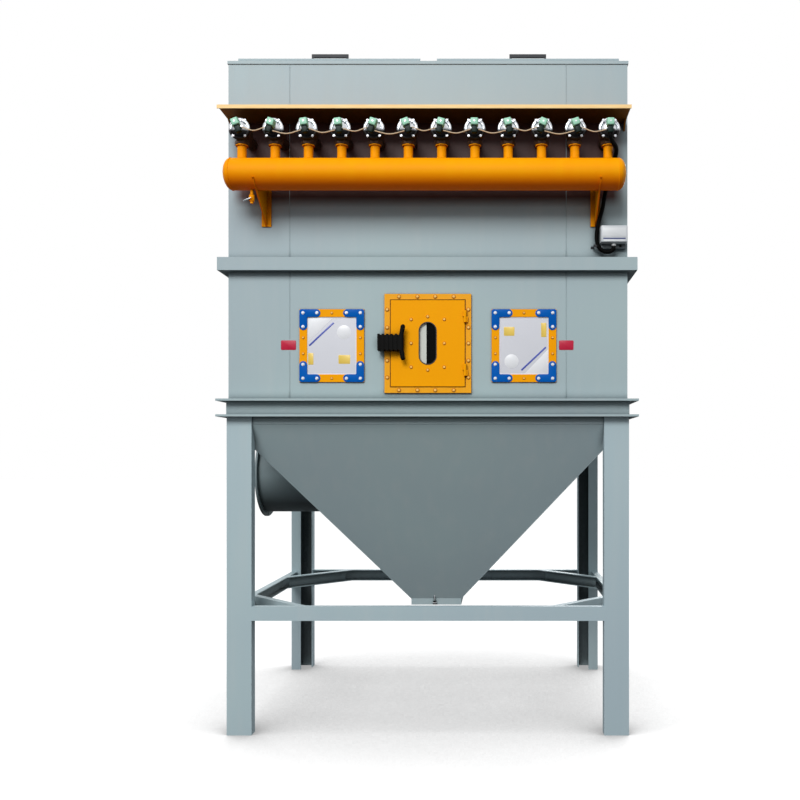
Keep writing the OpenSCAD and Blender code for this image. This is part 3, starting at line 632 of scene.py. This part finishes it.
def from_end(end, point):
    return Vector(end) + Vector((point[0], -point[1], point[2])) / 1000


def make_conduit():
    """The corrugated conduit from the last coil's plug down to the controller's gland."""
    route = ([from_end(CONDUIT_START, p) for p in CONDUIT_FALL]
             + [from_end(CONDUIT_END, p) for p in CONDUIT_LOOP])
    line = smooth_path(route, 0.0011)
    ribs = [0.012 if i % 4 in (1, 2) else 0.0101 for i in range(len(line))]
    make_cord("conduit_hose", line, ribs, 18, BLACK, "conduit")


def coil_turn(i):
    """A coil's turn on its stem; the last one stands straight."""
    if i == VALVES - 1:
        return 0.0
    return math.radians(COIL_SWING * math.sin(math.radians(TURN_STEP * i - TURN_START)))


def plug_side(i, side, out):
    """A point beyond the right or left face of a coil's plug."""
    turn, across, up = coil_turn(i), side * (0.015 + out), COIL_LIFT - 0.0385
    return Vector((VALVE_X[i] + across * math.cos(turn) + up * math.sin(turn),
                   WALL_Y - 0.291,
                   VALVE_Z - across * math.sin(turn) + up * math.cos(turn)))


def make_coil_leads():
    """The short cables that sag from each coil's plug to the next."""
    sag = Vector((0, 0, 0.016))
    for i in range(VALVES - 1):
        start, end = plug_side(i, 1, 0), plug_side(i + 1, -1, 0)
        lead, tail = plug_side(i, 1, 0.012), plug_side(i + 1, -1, 0.012)
        line = smooth_path([start, lead, (lead + tail) / 2 - sag, tail, end], 0.008)
        make_cord(f"coil_lead_{i + 1:02d}", line, [0.003] * len(line), 10, SHEATH,
                  "coil_cables")


make_conduit()
make_coil_leads()


# ---- geometry trees for what repeats ----

SOCKETS = {float: "NodeSocketFloat", int: "NodeSocketInt", tuple: "NodeSocketVector",
           type(None): "NodeSocketMaterial"}


def new_tree(name, **inputs):
    """A geometry tree with its named inputs and their usual values, a material among them."""
    tree = bpy.data.node_groups.new(name, "GeometryNodeTree")
    tree.interface.new_socket("Geometry", in_out="INPUT", socket_type="NodeSocketGeometry")
    for label, value in {**inputs, "Finish": None}.items():
        socket = tree.interface.new_socket(label, in_out="INPUT", socket_type=SOCKETS[type(value)])
        socket.default_value = value
    tree.interface.new_socket("Geometry", in_out="OUTPUT", socket_type="NodeSocketGeometry")
    return tree, Graph(tree)


def close_tree(g, shape):
    real = g.add("GeometryNodeRealizeInstances", {}, {"Geometry": shape})
    painted = g.add("GeometryNodeSetMaterial", {},
                    {"Geometry": real, "Material": g.given("Finish")})
    g.add("NodeGroupOutput", {}, {0: painted})


def bolt_parts(name, drums):
    """A tree that stands some drums on each point, each point's lot turned its own way."""
    tree, g = new_tree(name, Radius=0.008, Height=0.006, Lift=0.0, Facing=FRONT, Seed=1)

    def drum(sides, radius, height, lift):
        made = g.add("GeometryNodeMeshCylinder", {"fill_type": "NGON"},
                     {"Vertices": sides, "Radius": radius, "Depth": height})
        up = g.add("ShaderNodeCombineXYZ", {}, {"Z": lift + height * 0.5})
        return g.add("GeometryNodeTransform", {}, {"Geometry": made, "Translation": up})

    radius, height, lift = g.given("Radius"), g.given("Height"), g.given("Lift")
    parts = [drum(sides, radius * wide, height * tall, lift + height * low)
             for sides, wide, low, tall in drums]
    bolt = g.add("GeometryNodeJoinGeometry", {}, {0: parts})
    spin = g.add("FunctionNodeRandomValue", {"data_type": "FLOAT"},
                 {"Max": math.tau, "Seed": g.given("Seed")}, output="Value")
    turn = g.add("ShaderNodeCombineXYZ", {}, {"Z": spin})
    rotation = g.add("FunctionNodeRotateRotation", {"rotation_space": "LOCAL"},
                     {"Rotation": g.given("Facing"), "Rotate By": turn})
    placed = g.add("GeometryNodeInstanceOnPoints", {},
                   {"Points": g.given("Geometry"), "Instance": bolt, "Rotation": rotation})
    close_tree(g, placed)
    return tree


def valve_row():
    """The given part repeated along the row of valves, each turned on its stem."""
    tree, g = new_tree("valve_row", Count=VALVES, First=(VALVE_X[0], 0.0, VALVE_Z),
                       Pitch=VALVE_PITCH, Swing=0.0)
    pitch = g.add("ShaderNodeCombineXYZ", {}, {"X": g.given("Pitch")})
    line = g.add("GeometryNodeMeshLine", {},
                 {"Count": g.given("Count"), "Start Location": g.given("First"), "Offset": pitch})
    index = g.add("GeometryNodeInputIndex")
    turn = (index * math.radians(TURN_STEP) - math.radians(TURN_START)).sine() * g.given("Swing")
    turn = turn * (index < g.given("Count") - 1.5)
    rotation = g.add("ShaderNodeCombineXYZ", {}, {"Y": turn})
    placed = g.add("GeometryNodeInstanceOnPoints", {},
                   {"Points": line, "Instance": g.given("Geometry"), "Rotation": rotation})
    close_tree(g, placed)
    return tree


def weld_beads():
    """A rippled bead along each edge of the given lines."""
    tree, g = new_tree("weld_beads", Radius=0.003, Ripple=0.14, Step=0.005)
    curve = g.add("GeometryNodeMeshToCurve", {}, {"Mesh": g.given("Geometry")})
    cut = g.add("GeometryNodeResampleCurve", {"mode": "LENGTH"},
                {"Curve": curve, "Length": g.given("Step")})
    index = g.add("GeometryNodeInputIndex")
    radius = 1 + (index * (math.tau / 3)).sine() * g.given("Ripple")
    sized = g.add("GeometryNodeSetCurveRadius", {}, {"Curve": cut, "Radius": radius})
    ring = g.add("GeometryNodeCurvePrimitiveCircle", {},
                 {"Resolution": 6, "Radius": g.given("Radius")})
    tube = g.add("GeometryNodeCurveToMesh", {},
                 {"Curve": sized, "Profile Curve": ring, "Fill Caps": True})
    close_tree(g, tube)
    return tree


def caged_bags():
    """A felt bag on a round wire cage at each point: the cloth sinks in between the wires."""
    tree, g = new_tree("caged_bags", Radius=0.0645, Length=1.199, Sink=0.06, Wires=10.0,
                       Sides=40, Rows=10)
    tube = g.add("GeometryNodeMeshCylinder", {"fill_type": "NGON"},
                 {"Vertices": g.given("Sides"), "Side Segments": g.given("Rows"),
                  "Radius": g.given("Radius"), "Depth": g.given("Length")})
    place = g.add("GeometryNodeInputPosition")
    x, y, z = (g.along(axis, place) for axis in "XYZ")
    hollow = (y.bearing(x) * g.given("Wires") * 0.5).sine().size()
    slack = 1 - ((z * 2.0).size() > g.given("Length") * 0.97)
    shrink = 1 - hollow * slack * g.given("Sink")
    scale = g.add("ShaderNodeCombineXYZ", {}, {"X": shrink, "Y": shrink, "Z": 1.0})
    shaped = g.add("GeometryNodeSetPosition", {},
                   {"Geometry": tube, "Position": g.stretched(place, scale)})
    soft = g.add("GeometryNodeSetShadeSmooth", {}, {"Geometry": shaped, "Shade Smooth": True})
    placed = g.add("GeometryNodeInstanceOnPoints", {},
                   {"Points": g.given("Geometry"), "Instance": soft})
    close_tree(g, placed)
    return tree


# Each drum: its sides, its share of the radius, where it starts and its share of the height
HEADS = bolt_parts("hexagon_heads", [(6, 1.0, 0.0, 0.85), (18, 0.84, 0.85, 0.15)])
WASHERS = bolt_parts("flat_washers", [(20, 1.0, 0.0, 1.0)])
ROW = valve_row()
WELDS = weld_beads()
BAGS = caged_bags()


def worked(name, mesh, tree, sizes, finish, body="casing", smooth=True, replaced=None):
    """The tree's result on a mesh, as a plain piece."""
    seed = bpy.data.objects.new(name + "_seed", mesh)
    bpy.context.collection.objects.link(seed)
    modifier = seed.modifiers.new(tree.name, "NODES")
    modifier.node_group = tree
    values = {**sizes, "Finish": finish}
    for item in tree.interface.items_tree:
        if item.item_type == "SOCKET" and item.in_out == "INPUT" and item.name in values:
            modifier[item.identifier] = values[item.name]
    bpy.context.view_layer.update()
    result = bpy.data.meshes.new_from_object(
        seed.evaluated_get(bpy.context.evaluated_depsgraph_get()))
    seed.modifiers.remove(modifier)
    bpy.data.objects.remove(seed)
    result.name = name
    return piece_of(name, result, finish, body, smooth, replaced)


def points_mesh(points, edges=()):
    mesh = bpy.data.meshes.new("places")
    mesh.from_pydata([tuple(p) for p in points], list(edges), [])
    return mesh


def bolts(name, points, head, washer, seed, finishes, body="casing"):
    """Hexagon bolts of one head radius, on washers that are so many times as wide."""
    thick = head * 0.22
    rows = (("", HEADS, head, head * 0.7, thick), ("_washers", WASHERS, head * washer, thick, 0.0))
    for finish, (ending, tree, radius, height, lift) in zip(finishes, rows):
        sizes = {"Radius": radius, "Height": height, "Lift": lift, "Seed": seed}
        worked(name + ending, points_mesh(points), tree, sizes, finish, body, smooth=False)


# paler heads as a painted highlight, on darker washers as painted shade
PAINTED = (HIGHLIT_BOLT_ORANGE, SHADED_WASHER_ORANGE)
BRIGHT = (WHITE_BOLTS, WHITE_BOLTS)


def in_row(name, bm, finish, swing=0.0, replaced=None):
    """A part modelled round a valve's axis, repeated along the row."""
    worked(name, mesh_of(name, bm), ROW, {"Swing": math.radians(swing)}, finish,
           replaced=replaced)


def beads(name, lines, radius, finish=BODY):
    """Weld beads along lines of points."""
    points, edges = [], []
    for line in lines:
        first = len(points)
        points += line
        edges += [(k, k + 1) for k in range(first, len(points) - 1)]
    worked(name, points_mesh(points, edges), WELDS, {"Radius": radius}, finish)


# ---- pulse valves ----

def make_valve_covers():
    """Round covers with a rolled flange and a low crown, and four bolts on each."""
    flange = [(0, 0), (0, 0.0590), (0.0040, 0.0590), (0.0080, 0.0580), (0.0115, 0.0558),
              (0.0138, 0.0525), (0.0145, 0.0490), (0.0125, 0.0470), (0.0090, 0.0460)]
    crown_top, crown_curve = 0.0240, 0.0628
    crown = [(crown_top - crown_curve + math.sqrt(crown_curve ** 2 - r ** 2), r)
             for r in (0.0445, 0.040, 0.034, 0.027, 0.019, 0.010, 0.0)]
    in_row("valve_cover_castings", turned(flange + crown, facing(0, COVER_Y, 0), 48), CASTING,
           replaced="valve_covers")
    heads = [(side * 0.0320, COVER_Y - 0.0140, up * 0.0415)
             for side in (-1, 1) for up in (-1, 1)]
    points = [(x + vx, y, z + VALVE_Z) for vx in VALVE_X for x, y, z in heads]
    bolts("valve_cover_bolts", points, 0.0056, 1.25, 4, BRIGHT)


def make_coils():
    """A ribbed coil on each cover, its stem and nut, and the plug that hangs under it."""
    back = COVER_Y - 0.036
    coil = bmesh.new()
    add_block(coil, (-0.0192, back - 0.0470, COIL_LIFT - 0.0190),
              (0.0192, back - 0.0015, COIL_LIFT + 0.0180), 0.0050, 3)
    for k in range(3):
        y = back - 0.012 - 0.011 * k
        add_block(coil, (-0.0204, y - 0.0035, COIL_LIFT - 0.0195),
                  (0.0204, y + 0.0035, COIL_LIFT + 0.0195), 0.0030, 2)
    in_row("coil_housings", coil, MINT, COIL_SWING, "pilot_coils")

    stem = turned([(-0.002, 0), (-0.002, 0.0155), (0.0045, 0.0155), (0.0055, 0.0110),
                   (0.0140, 0.0110), (0.0140, 0)], facing(0, COVER_Y - 0.024, COIL_LIFT), 24)
    add_turned(stem, [(0.0440, 0), (0.0440, 0.0052), (0.0474, 0.0052), (0.0480, 0.0044),
                      (0.0480, 0)], facing(0, back, COIL_LIFT), 6)
    in_row("coil_stems", stem, STEEL, COIL_SWING, "pilot_coils")

    plug = bmesh.new()
    middle = back - 0.024
    low = COIL_LIFT - 0.056
    add_block(plug, (-0.0150, middle - 0.0145, low), (0.0150, middle + 0.0145, low + 0.0335),
              0.0035, 3)
    add_block(plug, (-0.0138, middle - 0.0132, low + 0.0325),
              (0.0138, middle + 0.0132, low + 0.0365), 0.0008, 1)
    for side in (-1, 1):
        add_turned(plug, [(0, 0), (0, 0.0058), (0.003, 0.0058), (0.0072, 0.0036), (0.0072, 0)],
                   Matrix.Translation((side * 0.0145, middle, low + 0.0175))
                   @ Matrix.Rotation(side * math.pi / 2, 4, "Y"), 16)
    add_turned(plug, [(-0.001, 0), (-0.001, 0.0042), (0.0006, 0.0042), (0.0006, 0)],
               facing(0, middle - 0.0145, low + 0.010), 14)
    in_row("coil_plugs", plug, DARK_GREEN, COIL_SWING, "pilot_coils")


def make_coupling_nuts():
    nut = turned([(-0.0740, 0.0250), (-0.0740, 0.0385), (-0.0715, 0.0400), (-0.0530, 0.0400),
                  (-0.0500, 0.0380), (-0.0460, 0.0250)],
                 Matrix.Translation((0, MANIFOLD_Y, 0)), 6)
    in_row("valve_coupling_nuts", nut, SHADED_BODY_CASTING)


make_valve_covers()
make_coils()
make_coupling_nuts()


# ---- air manifold and drain cock ----

def make_manifold_welds():
    """The welds of the manifold's two ends and of the valves' stub pipes."""
    end_x, end_radius, stub_radius, shell_radius = 1.0445, 0.0838, 0.0262, 0.0842
    lines = [[(side * end_x, MANIFOLD_Y + dy, MANIFOLD_Z + dz)
              for dy, dz in circle(48, end_radius)] for side in (-1, 1)]
    lines += [[(x + dx, MANIFOLD_Y + dy, MANIFOLD_Z + math.sqrt(shell_radius ** 2 - dy ** 2))
               for dx, dy in circle(32, stub_radius)] for x in VALVE_X]
    lines = [line + line[:1] for line in lines]
    beads("manifold_welds", lines, 0.0030, ORANGE)


def make_drain_cock():
    x, y, z = -0.937, MANIFOLD_Y, 2.951
    body = turned([(-0.0120, 0), (-0.0120, 0.0088), (-0.0030, 0.0088), (-0.0020, 0.0120),
                   (0.0020, 0.0146), (0.0310, 0.0146), (0.0345, 0.0118), (0.0360, 0.0088),
                   (0.0625, 0.0088), (0.0625, 0)], Matrix.Translation((x, y, z)), 24)
    add_turned(body, [(0, 0), (0, 0.0070), (0.0040, 0.0070), (0.0055, 0.0055), (0.0055, 0)],
               facing(x, y - 0.0140, z + 0.0130), 16)
    finished("drain_cock_body", body, ORANGE, replaced="drain_valve")
    lever = bmesh.new()
    add_block(lever, (-0.044, -0.0065, -0.0022), (0.004, 0.0065, 0.0022), 0.0018, 2)
    tip = bmesh.ops.create_uvsphere(lever, u_segments=16, v_segments=8, radius=0.0066)["verts"]
    bmesh.ops.transform(lever, matrix=Matrix.Translation((-0.039, 0, 0)) @ Matrix.Diagonal(
        (1.0, 1.0, 0.5, 1.0)), verts=tip)
    bmesh.ops.transform(lever, matrix=Matrix.Translation((x - 0.001, y - 0.0165, z + 0.013))
                        @ Matrix.Rotation(math.radians(-22), 4, "Y"), verts=lever.verts)
    finished("drain_cock_lever", lever, STEEL, replaced="drain_valve")


make_manifold_welds()
make_drain_cock()


# ---- door ----

def slot_outline(width, height):
    """The door window's outline, round at the top and the bottom."""
    return rounded(width, height, width / 2 - 0.0001, 12, (0, DOOR_Z))


def make_door_details():
    """Bolts round the door frame and the window, the window's seal and the door's seal."""
    frame_face, leaf_face = WALL_Y - 0.012, WALL_Y - 0.017
    points = [(x, frame_face, z) for x in (-0.162, -0.058, 0.042, 0.146)
              for z in (DOOR_Z + 0.263, DOOR_Z - 0.263)]
    points += [(side * 0.2285, frame_face, DOOR_Z + z) for side in (-1, 1)
               for z in (0.190, 0.089, 0.0, -0.097, -0.192)]
    bolts("door_frame_bolts", points, 0.0078, 1.45, 2, PAINTED)

    around = [(x, leaf_face, DOOR_Z + z) for x in (-0.093, 0.093) for z in (-0.134, 0.0, 0.134)]
    around += [(0.0, leaf_face, DOOR_Z + z) for z in (-0.150, 0.150)]
    bolts("window_bolts", around, 0.0068, 1.45, 3, PAINTED, "door")
    rubber = bmesh.new()
    add_ring(rubber, slot_outline(0.101, 0.241), slot_outline(0.091, 0.231),
             leaf_face + 0.0002, leaf_face - 0.0022)
    finished("window_seal", rubber, BLACK_SEAL, "door")

    seal = bmesh.new()
    add_ring(seal, rounded(0.4252, 0.4942, 0.002, 2, (0, DOOR_Z)),
             rounded(0.4168, 0.4858, 0.002, 2, (0, DOOR_Z)), WALL_Y - 0.0004, WALL_Y - 0.0050)
    finished("door_seal", seal, SEAL)


make_door_details()


# ---- explosion vents ----

def corner_outline(arm, width, corner):
    """An L plate in the +x +z corner, its outer corner eased and both arms ending round."""
    radius = width / 2
    points = [(-corner + corner * math.sin(a), -corner + corner * math.cos(a))
              for a in (math.pi / 2 * k / 4 for k in range(5))]
    points += [(0, -(arm - radius))]
    points += [(-radius + radius * math.cos(a), -(arm - radius) - radius * math.sin(a))
               for a in (math.pi * k / 8 for k in range(1, 9))]
    points += [(-width, -width - 0.004), (-width - 0.004, -width), (-(arm - radius), -width)]
    points += [(-(arm - radius) - radius * math.sin(a), -radius - radius * math.cos(a))
               for a in (math.pi * k / 8 for k in range(1, 9))]
    return points


def line_outline(first, last, width):
    """A straight strip between two (x, z) points."""
    along = Vector(last) - Vector(first)
    across = Vector((-along[1], along[0])).normalized() * width / 2
    return [tuple(Vector(p) + s * across) for p, s in ((first, -1), (last, -1), (last, 1),
                                                      (first, 1))]


def disc_outline(centre, radius, count=28):
    return [(centre[0] + x, centre[1] + z) for x, z in circle(count, radius)]


def make_vents():
    """Corner plates, thin white rings round the membranes as a painted highlight on their edges,
    and bolts on the two vents.
    """
    half_width, half_height = 0.182, 0.205
    arm, plate_width = 0.118, 0.044
    inset, arm_bolt = 0.0205, 0.099
    face = WALL_Y - 0.008
    plate_face = face - 0.003
    plates, highlight_rims = bmesh.new(), bmesh.new()
    corner_bolts, strip_bolts = [], []
    for vent in (-1, 1):
        middle = (vent * VENT_X, VENT_Z)
        # a thin white ring round each membrane: a painted highlight on its edge
        add_ring(highlight_rims, rounded(0.2776, 0.3236, 0.0004, 1, middle),
                 rounded(0.2680, 0.3140, 0.0030, 1, middle), WALL_Y - 0.0029, WALL_Y - 0.0042)
        for sx in (-1, 1):
            for sz in (-1, 1):
                x, z = vent * VENT_X + sx * half_width, VENT_Z + sz * half_height
                outline = [(x + sx * dx, z + sz * dz)
                           for dx, dz in corner_outline(arm, plate_width, 0.010)]
                add_plate(plates, outline, face + 0.0002, plate_face, 0.0006)
                for dx, dz in ((inset, inset), (inset, arm_bolt), (arm_bolt, inset)):
                    corner_bolts.append((x - sx * dx, plate_face, z - sz * dz))
        for sx in (-1, 1):
            for z in (-0.045, 0.045):
                strip_bolts.append((vent * VENT_X + sx * 0.161, face, VENT_Z + z))
        for sz in (-1, 1):
            strip_bolts.append((vent * VENT_X, face, VENT_Z + sz * 0.184))
    finished("vent_corner_plates", plates, BLUE)
    finished("membrane_highlight_rims", highlight_rims, WHITE_PAINT)
    bolts("vent_corner_bolts", corner_bolts, 0.0066, 1.35, 5, BRIGHT)
    bolts("vent_strip_bolts", strip_bolts, 0.0060, 1.4, 6, PAINTED)


def make_vent_patches():
    """The plain coloured patches on the two vents' membranes, in metres from their centres."""
    skin = WALL_Y - 0.0030
    left, right = -1, 1
    patches = {
        "white": (WHITE_PAINT, [
            (left, [(-0.136, 0.020), (0.004, 0.158), (-0.136, 0.158)]),
            (left, disc_outline((0.068, 0.076), 0.040)),
            (right, disc_outline((-0.070, -0.088), 0.040)),
            (right, [(0.004, -0.158), (0.136, -0.158), (0.136, -0.020)])]),
        "violet": (VIOLET, [
            (left, line_outline((-0.128, 0.000), (0.010, 0.130), 0.010)),
            (right, line_outline((-0.014, -0.138), (0.124, -0.008), 0.010))]),
        "yellow": (YELLOW, [
            (left, rounded(0.066, 0.050, 0.004, 3, (0.070, -0.077))),
            (left, rounded(0.034, 0.066, 0.004, 3, (-0.121, -0.074))),
            (right, rounded(0.060, 0.050, 0.004, 3, (-0.083, 0.081))),
            (right, rounded(0.030, 0.080, 0.004, 3, (0.112, 0.089)))]),
    }
    for k, (label, (finish, outlines)) in enumerate(patches.items()):
        shapes = bmesh.new()
        for vent, outline in outlines:
            placed = [(vent * VENT_X + x, VENT_Z + z) for x, z in outline]
            add_plate(shapes, placed, skin + 0.0001, skin - 0.0003 - 0.0001 * k, 0.0001)
        finished(f"vent_patches_{label}", shapes, finish)


def make_red_plates():
    """The two small enamelled plates beside the vents, left plain."""
    plates = bmesh.new()
    for x, width in ((-0.7865, 0.085), (0.7800, 0.082)):
        add_plate(plates, rounded(width, 0.054, 0.006, 4, (x, 2.1985)), WALL_Y + 0.0002,
                  WALL_Y - 0.0012, 0.0004)
    finished("red_plates", plates, RED)


make_vents()
make_vent_patches()
make_red_plates()


# ---- casing welds and small parts ----

def make_casing_welds():
    """Seams down the front wall, the hopper's four corners, and its bend under the skirt."""
    front = WALL_Y - 0.0004
    casing_middle, knee_half, knee_z = 0.0775, 0.8, 1.754
    seams = [[(x, front, low), (x, front, high)] for x in (-0.78, 0.78)
             for low, high in ((1.896, 2.163), (2.234, 2.610), (2.686, 3.782))]
    for x in (-1, 1):
        for y in (-1, 1):
            seams.append([(x * 1.125, casing_middle + y * knee_half, knee_z),
                          (x * 0.16, casing_middle + y * 0.16, 0.665)])
    beads("casing_welds", seams, 0.0022)
    bends = [[(x, casing_middle + y * knee_half, knee_z) for x in (-1.12, 1.12)]
             for y in (-1, 1)]
    beads("hopper_knee_welds", bends, 0.0016)


def make_lid_seals():
    """A thin rubber strip all round each roof lid."""
    front, rear = -0.6835, 0.8385
    foot, top = 3.8000, 3.8070
    seals = bmesh.new()
    for side in (-1, 1):
        low, high = sorted((side * 0.0475, side * 1.083))
        for y0, y1 in ((front, -0.6800), (0.8350, rear)):
            add_block(seals, (low - 0.003, y0, foot), (high + 0.003, y1, top), 0.0012, 1)
        for x0 in (low - 0.003, high - 0.0005):
            add_block(seals, (x0, front, foot), (x0 + 0.0035, rear, top), 0.0012, 1)
    finished("lid_seals", seals, BLACK_SEAL)


def make_outlet_pin():
    pin = bmesh.new()
    axis = Matrix.Translation((-0.010, -0.0920, 0))
    add_block(pin, (-0.0240, -0.0990, 0.6340), (0.0040, -0.0823, 0.6420), 0.0012, 2)
    add_turned(pin, [(0.6280, 0), (0.6280, 0.0042), (0.7120, 0.0042), (0.7150, 0.0030),
                     (0.7150, 0)], axis, 16)
    finished("outlet_pin", pin, STEEL)
    nut = turned([(0.6420, 0.0040), (0.6420, 0.0090), (0.6500, 0.0090), (0.6500, 0.0040)], axis, 6)
    finished("outlet_pin_nut", nut, BLACK)


def make_conduit_clip():
    clip = bmesh.new()
    for x0, x1, far, near in ((0.9300, 0.9335, 0.0480, 0), (0.9300, 0.9490, 0.0480, 0.0445),
                              (0.9180, 0.9335, 0.0025, 0)):
        add_block(clip, (x0, WALL_Y - far, 2.7400), (x1, WALL_Y - near, 2.7540), 0.0010, 1)
    finished("conduit_clip", clip, DARK_PAINT)


make_casing_welds()
make_lid_seals()
make_outlet_pin()
make_conduit_clip()


# ---- bags ----

def make_bags():
    """Eight bags in each of the twelve rows, hung from the tube sheet."""
    first_y, pitch, top, half_length = -0.57, 0.185, 3.08, 0.6
    places = [(x, first_y + pitch * j, top - half_length) for x in VALVE_X for j in range(8)]
    worked("filter_bag_sleeves", points_mesh(places), BAGS, {}, FELT,
           replaced="filter_bags")


make_bags()


# ---- controller ----

def make_controller():
    """The control box: case and cover, plain face and stripe, terminals, and the gland."""
    left, right = 0.967, 1.117
    front = WALL_Y - 0.072
    box, face, stripe, strip = (bmesh.new() for part in range(4))
    add_block(box, (left, WALL_Y - 0.044, BOX_FOOT), (right, WALL_Y, BOX_TOP), 0.004, 3)
    add_block(box, (left + 0.001, front + 0.0015, BOX_FOOT + 0.001),
              (right - 0.001, WALL_Y - 0.0455, BOX_TOP - 0.001), 0.005, 3)
    for width, height, corner, steps, z, bm, out in (
            (0.128, 0.052, 0.003, 4, 2.817, face, 0.0005),
            (0.120, 0.010, 0.002, 4, 2.7705, face, 0.0005),
            (0.124, 0.0065, 0.0015, 3, 2.7825, stripe, 0.0006)):
        add_plate(bm, rounded(width, height, corner, steps, (BOX_X, z)), front + 0.002,
                  front + out, 0.0003)
    add_block(strip, (left + 0.006, WALL_Y - 0.026, BOX_FOOT - 0.026),
              (right - 0.006, WALL_Y, BOX_FOOT - 0.0005), 0.0025, 2)
    for k in range(9):
        x = left + 0.018 + 0.0143 * k
        add_block(strip, (x - 0.0045, WALL_Y - 0.0275, BOX_FOOT - 0.022),
                  (x + 0.0045, WALL_Y - 0.02, BOX_FOOT - 0.006), 0.0008, 1)
    gland = turned([(0, 0), (0, 0.0115), (0.0035, 0.0130), (0.0085, 0.0130), (0.0100, 0.0118),
                    (0.0140, 0.0118), (0.0140, 0)], Matrix.Translation(CONDUIT_END), 12)
    for name, bm, finish in (("controller_box", box, BOX_GREY),
                             ("controller_face", face, PALE_GREY),
                             ("controller_stripe", stripe, NAVY),
                             ("terminal_strip", strip, SLATE),
                             ("conduit_gland", gland, WHITE_NYLON)):
        finished(name, bm, finish, replaced="controller")

    cap = bmesh.new()
    add_block(cap, (1.074, WALL_Y - 0.034, 2.744), (1.088, WALL_Y - 0.026, 2.758), 0.003, 2)
    finished("terminal_cap", cap, BLACK)


make_controller()


# ---- floor, backdrop and light ----

def make_floor():
    """A white floor to the eye, its glow darkened by a painted shadow in the machine's shelter;
    plain grey to the machine.
    """
    mesh = bpy.data.meshes.new("floor")
    mesh.from_pydata([(-60, -60, 0), (60, -60, 0), (60, 60, 0), (-60, 60, 0)], [], [(0, 1, 2, 3)])
    floor = bpy.data.objects.new("floor", mesh)
    bpy.context.collection.objects.link(floor)
    material = bpy.data.materials.new("studio_floor")
    material.use_nodes = True
    g = Graph(material.node_tree)
    shelter = g.add("ShaderNodeAmbientOcclusion", {"samples": 16}, {"Distance": 2.2}, "AO")
    # painted shadow: the floor's glow darkens where the machine shelters it
    glow_with_painted_shadow = g.steps(shelter, (0.45, 0.36), (0.655, 0.67), (0.79, 1.0))
    glow = g.add("ShaderNodeEmission", {}, {"Color": glow_with_painted_shadow, "Strength": 1.0})
    pale = g.add("ShaderNodeBsdfDiffuse", {}, {"Color": (0.10, 0.10, 0.10, 1)})
    lit = g.add("ShaderNodeAddShader", {}, {0: glow, 1: pale})
    plain = g.add("ShaderNodeBsdfDiffuse", {}, {"Color": (0.12, 0.12, 0.122, 1)})
    shown = g.add("ShaderNodeMixShader", {}, {0: g.rays("Camera", "Transmission"), 1: plain,
                                             2: lit})
    g.add("ShaderNodeOutputMaterial", {}, {"Surface": shown})
    mesh.materials.append(material)


def make_world():
    """A white backdrop to the eye and in reflections, and a soft bluish fill for the rest."""
    world = bpy.data.worlds.new("studio")
    bpy.context.scene.world = world
    world.use_nodes = True
    g = Graph(world.node_tree)
    white = g.add("ShaderNodeBackground", {}, {"Color": (1, 1, 1, 1), "Strength": 1.0})
    fill = g.add("ShaderNodeBackground", {}, {"Color": (0.93, 0.96, 1, 1), "Strength": 0.49})
    both = g.add("ShaderNodeMixShader", {},
                 {0: g.rays("Camera", "Transmission", "Glossy"), 1: fill, 2: white})
    g.add("ShaderNodeOutputWorld", {}, {"Surface": both})


def make_light(name, place, target, size, power):
    """A soft panel that looks at its target; the camera doesn't see the panel."""
    data = bpy.data.lights.new(name, "AREA")
    data.shape = "RECTANGLE"
    data.size, data.size_y = size
    data.energy = power
    lamp = bpy.data.objects.new(name, data)
    lamp.location = place
    lamp.rotation_euler = (Vector(target) - Vector(place)).to_track_quat("-Z", "Y").to_euler()
    bpy.context.collection.objects.link(lamp)
    lamp.visible_camera = False


make_floor()
make_world()
make_light("key_softbox", (-2.9, -11.7, 10.1), (0, -0.7, 1.9), (8.0, 5.5), 1450)
make_light("back_softbox", (1.0, 8.0, 5.5), (0, 0, 2.2), (6.0, 4.0), 620)

bpy.context.scene.view_settings.view_transform = "Standard"
